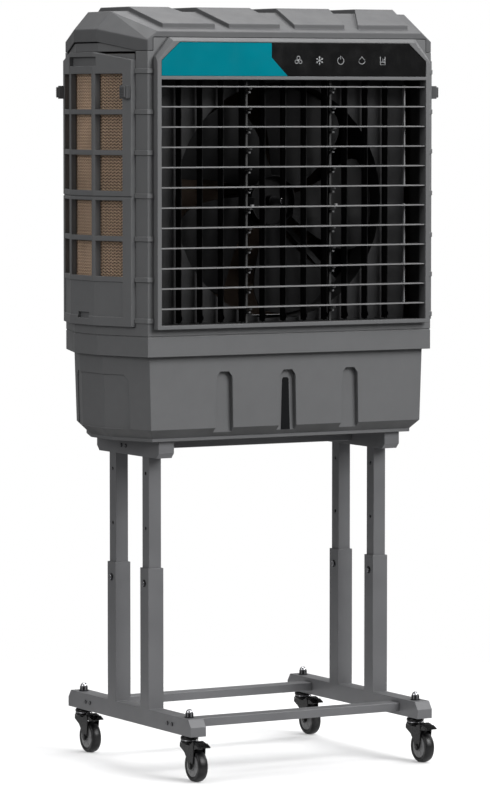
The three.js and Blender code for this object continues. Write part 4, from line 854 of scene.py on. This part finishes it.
def pad_sheets(path, low_z, high_z, pitch, flute):
    """Corrugated sheets across a path in XY. The flutes of every other sheet slant the other way."""
    lengths = [(b - a).length for a, b in zip(path, path[1:])]
    total = sum(lengths)
    rows = int((high_z - low_z) / flute * POINTS_PER_FLUTE)
    levels = np.linspace(low_z, high_z, rows)
    points, faces = [], []
    for sheet in range(int(total / pitch) + 1):
        s = min(sheet * pitch, total - 1e-6)
        part = 0
        while s > lengths[part]:
            s -= lengths[part]
            part += 1
        along = (path[part + 1] - path[part]).normalized()
        inward = Vector((-along.y, along.x))
        base = path[part] + along * s
        lean = 1 if sheet % 2 else -1
        first = len(points)
        for depth in (0, FLUTE_DEPTH):
            phase = 2 * math.pi * (levels + lean * depth * FLUTE_SLANT) / flute
            wave = lean * pitch * FLUTE_SWING * np.sin(phase)
            x = base.x + along.x * wave + inward.x * depth
            y = base.y + along.y * wave + inward.y * depth
            points += list(zip(x.tolist(), y.tolist(), levels.tolist()))
        for k in range(first, first + rows - 1):
            faces.append((k, k + 1, k + rows + 1, k + rows))
    return points, faces


def pad_core(path, low_z, high_z, near, far):
    """A plate along a path in XY, from near to far inward of it."""
    inner, outer = [], []
    for i, point in enumerate(path):
        before = path[max(i - 1, 0)]
        after = path[min(i + 1, len(path) - 1)]
        along = (after - before).normalized()
        inward = Vector((-along.y, along.x))
        outer.append(point + inward * near)
        inner.append(point + inward * far)
    outline = [tuple(p) for p in outer] + [tuple(p) for p in reversed(inner)]
    return prism(outline, (low_z, high_z))


def make_pad(word, body, path, sheets, core_back):
    """Fluted face of one pad, which replaces its CAD block, and the core behind it, painted dark as the shade
    deep in the cells.
    """
    node = f"{word}_pad"
    low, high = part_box(node)
    flutes = pad_sheets(path, low.z, high.z, *sheets)
    thicken(place_mesh(f"{word}_pad_flutes", flutes, "pad", body, [node]), PAPER)
    core = pad_core(path, low.z, high.z, FLUTE_DEPTH + CORE_GAP, core_back)
    round_edges(place_mesh(f"{word}_pad_core", core, "painted_pad_shade", body), 0.001)


def side_path(word, side):
    """Outer face of a side pad in XY, with its inner side on the left hand."""
    low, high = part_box(f"{word}_pad")
    face = (high.x if side > 0 else low.x) - side * PAD_FACE
    reach, turn_y = (high.y - low.y) / 2 - 0.004, FLAT_Y - 0.0007
    back = face - side * (reach - turn_y) * math.tan(LEAN)
    corners = [(back, -reach), (face, -turn_y), (face, turn_y), (back, reach)]
    path = [Vector((x, y + MIDDLE_Y)) for x, y in corners]
    return path if side > 0 else path[::-1]


def make_pads():
    for word, side in SIDES.items():
        path = side_path(word, side)
        make_pad(word, f"{word}_cassette", path, SIDE_SHEETS, SIDE_CORE)
        top, pad_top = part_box(f"{word}_panel")[1].z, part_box(f"{word}_pad")[1].z
        head = pad_core(path, top - SEAL_HEIGHT, min(top - 0.0005, pad_top), -SEAL - 0.0001, -0.0001)
        piece = place_mesh(f"{word}_head_strip", head, "cabinet", f"{word}_cassette")
        round_edges(piece, 0.0003)
    low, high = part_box("rear_pad")
    path = [Vector((x, high.y - PAD_FACE)) for x in (high.x - 0.004, low.x + 0.004)]
    make_pad("rear", "rear_cassette", path, REAR_SHEETS, REAR_CORE)


def thicken(piece, thickness):
    shell = piece.modifiers.new("thickness", "SOLIDIFY")
    shell.thickness, shell.offset = thickness, 0


# ---------------------------------------------------------------- tank and panel fittings
RECESS = 0.013  # depth of the tank's middle recess
WINDOW_FOOT, WINDOW_TOP, WINDOW_HALF = 0.0185, 0.1415, 0.0090  # heights above the tank's foot, half width
REAR_LATCH_INSET = 0.014  # from the rear panel's side
LATCH_RIB_PITCH = 0.004
DRAIN, INLET = (-0.26, 0.048), (-0.30, 0.168)  # place across the rear, and height above the tank's foot
GLAND = (0.322, 0.024)  # place across the rear, and height above the cabinet's foot


def level_window():
    """Dark tapered strip in the tank's middle recess that shows the water level."""
    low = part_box("water_tank")[0]
    back, foot, top = low.y + RECESS, low.z + WINDOW_FOOT, low.z + WINDOW_TOP
    right = [(WINDOW_HALF * 1.35, foot), (WINDOW_HALF * 0.95, top - 0.004), (WINDOW_HALF * 0.6, top)]
    strip = prism([*right, *[(-x, z) for x, z in reversed(right)]], (back - 0.0012, back + 0.001), "y")
    round_edges(place_mesh("level_window", strip, "window", "upper"), 0.0004)


def latch_grips():
    """Turn grips on the panels' latches."""
    x = SIDE_X - (LATCH_REACH - FLAT_Y) * math.tan(LEAN) + PANEL_OUT / math.cos(LEAN)
    for word, side in SIDES.items():
        for end_word, end in zip(ENDS, (-1, 1)):
            at = Vector((side * x, MIDDLE_Y + end * LATCH_REACH, LATCH_Z))
            turn = end * LEAN if side > 0 else math.pi - end * LEAN
            grip(f"latch_{word}_{end_word}", at, turn, f"{word}_cassette")
    rear_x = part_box("rear_panel")[1].x - REAR_LATCH_INSET
    for word, side in SIDES.items():
        at = Vector((side * rear_x, MIDDLE_Y + DEEP_Y + PANEL_OUT, LATCH_Z))
        grip(f"latch_rear_{word}", at, math.pi / 2, "rear_cassette")


def grip(name, at, turn, body):
    """A base block, a narrower grip and five finger ribs, facing +X before the turn about Z."""
    blocks = [box_mesh((0.0002, -0.0103, -0.0153), (0.0124, 0.0103, 0.0153)),
              box_mesh((0.0110, -0.0073, -0.0123), (0.0173, 0.0073, 0.0123))]
    for number in range(-2, 3):
        level = number * LATCH_RIB_PITCH
        blocks.append(box_mesh((0.0170, -0.0066, level - 0.0007), (0.0178, 0.0066, level + 0.0007)))
    mesh = moved(join(blocks), Matrix.Translation(at) @ Matrix.Rotation(turn, 4, "Z"))
    round_edges(place_mesh(name, mesh, "latch", body), 0.0007)


def rear_fittings():
    """Drain plug, water inlet and cable gland nut on the rear."""
    low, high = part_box("water_tank")
    wall = high.y - 0.002
    at = Vector((DRAIN[0], wall, low.z + DRAIN[1]))
    profile = [(0, 0.020), (0.010, 0.020), (0.0125, 0.0185), (0.013, 0.016), (0.013, 0.008), (0.0185, 0.008),
               (0.0195, 0.007), (0.0195, 0.001), (0, 0.001)]
    wings = box_mesh((at.x - 0.011, at.y + 0.019, at.z - 0.0022), (at.x + 0.011, at.y + 0.026, at.z + 0.0022))
    plug = join([lathe(profile, at, "y", 40), wings])
    round_edges(place_mesh("drain_plug", plug, "dark", "upper"), 0.0007)
    at = Vector((INLET[0], wall, low.z + INLET[1]))
    barbs = [(0.0045, 0.034), (0.0058, 0.031), (0.0048, 0.028), (0.0060, 0.025), (0.0050, 0.022),
             (0.0062, 0.019), (0.0055, 0.016)]
    flange = [(0.0125, 0.016), (0.0125, 0.004), (0.0165, 0.004), (0.0165, 0.001)]
    profile = [(0, 0.034), *barbs, *flange, (0, 0.001)]
    inlet = lathe(profile, at, "y", 36)
    round_edges(place_mesh("water_inlet", inlet, "dark", "upper"), 0.0004)
    at = Vector((GLAND[0], MIDDLE_Y + DEEP_Y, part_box("cabinet_shell")[0].z + GLAND[1]))
    profile = [(0.0046, 0.0002), (0.0135, 0.0002), (0.0135, 0.0052), (0.0108, 0.0056), (0.0104, 0.0102),
               (0.0086, 0.0125), (0.0046, 0.0128), (0.0046, 0.0002)]
    nut = lathe(profile, at, "y", 6)
    round_edges(place_mesh("gland_nut", nut, "dark", "upper"), 0.0006)


def motor_ribs():
    """Cooling ribs around the fan motor."""
    low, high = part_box("fan_motor")
    centre, radius = (low + high) / 2, (high.z - low.z) / 2
    at = Matrix.Translation((centre.x, 0, centre.z))
    ribs = []
    for k in range(MOTOR_RIBS):
        rib = box_mesh((-0.0009, low.y + 0.016, radius - 0.0005), (0.0009, high.y - 0.022, radius + 0.0035))
        ribs.append(moved(rib, at @ Matrix.Rotation(k * 2 * math.pi / MOTOR_RIBS, 4, "Y")))
    round_edges(place_mesh("motor_ribs", join(ribs), "motor", "upper"), 0.0004)


# ---------------------------------------------------------------- floor
def make_floor():
    """A pale floor that fades away into the white background, with the faintest mottling."""
    s = Surface("pale_floor")
    distance = s.add("ShaderNodeVectorMath", {0: s.place}, operation="LENGTH").outputs["Value"]
    fade = s.spread(distance, 0.0, FLOOR_FADE)
    tone = s.mix(s.spread(s.noise(3, 3), 0.3, 0.7), (0.90, 0.90, 0.905), (0.92, 0.92, 0.925))
    s.put(s.shader, "Base Color", tone)
    s.put(s.shader, "Roughness", s.spread(s.noise(8, 3), 0.3, 0.7, 0.75, 0.85))
    clear = s.add("ShaderNodeBsdfTransparent")
    blend = s.add("ShaderNodeMixShader", {0: fade, 1: s.shader.outputs[0], 2: clear.outputs[0]})
    output = next(node for node in s.tree.nodes if node.type == "OUTPUT_MATERIAL")
    s.tree.links.new(blend.outputs[0], output.inputs["Surface"])
    mesh = bmesh.new()
    bmesh.ops.create_circle(mesh, cap_ends=True, segments=96, radius=FLOOR_RADIUS)
    data = bpy.data.meshes.new("floor")
    mesh.to_mesh(data)
    mesh.free()
    data.materials.append(s.material)
    floor = bpy.data.objects.new("floor", data)
    bpy.context.scene.collection.objects.link(floor)


make_camera()
make_studio()
make_floor()
dress_frame()
make_casters()
stand_fasteners()
control_panel()
fan_rotor()
make_pads()
level_window()
latch_grips()
rear_fittings()
motor_ribs()
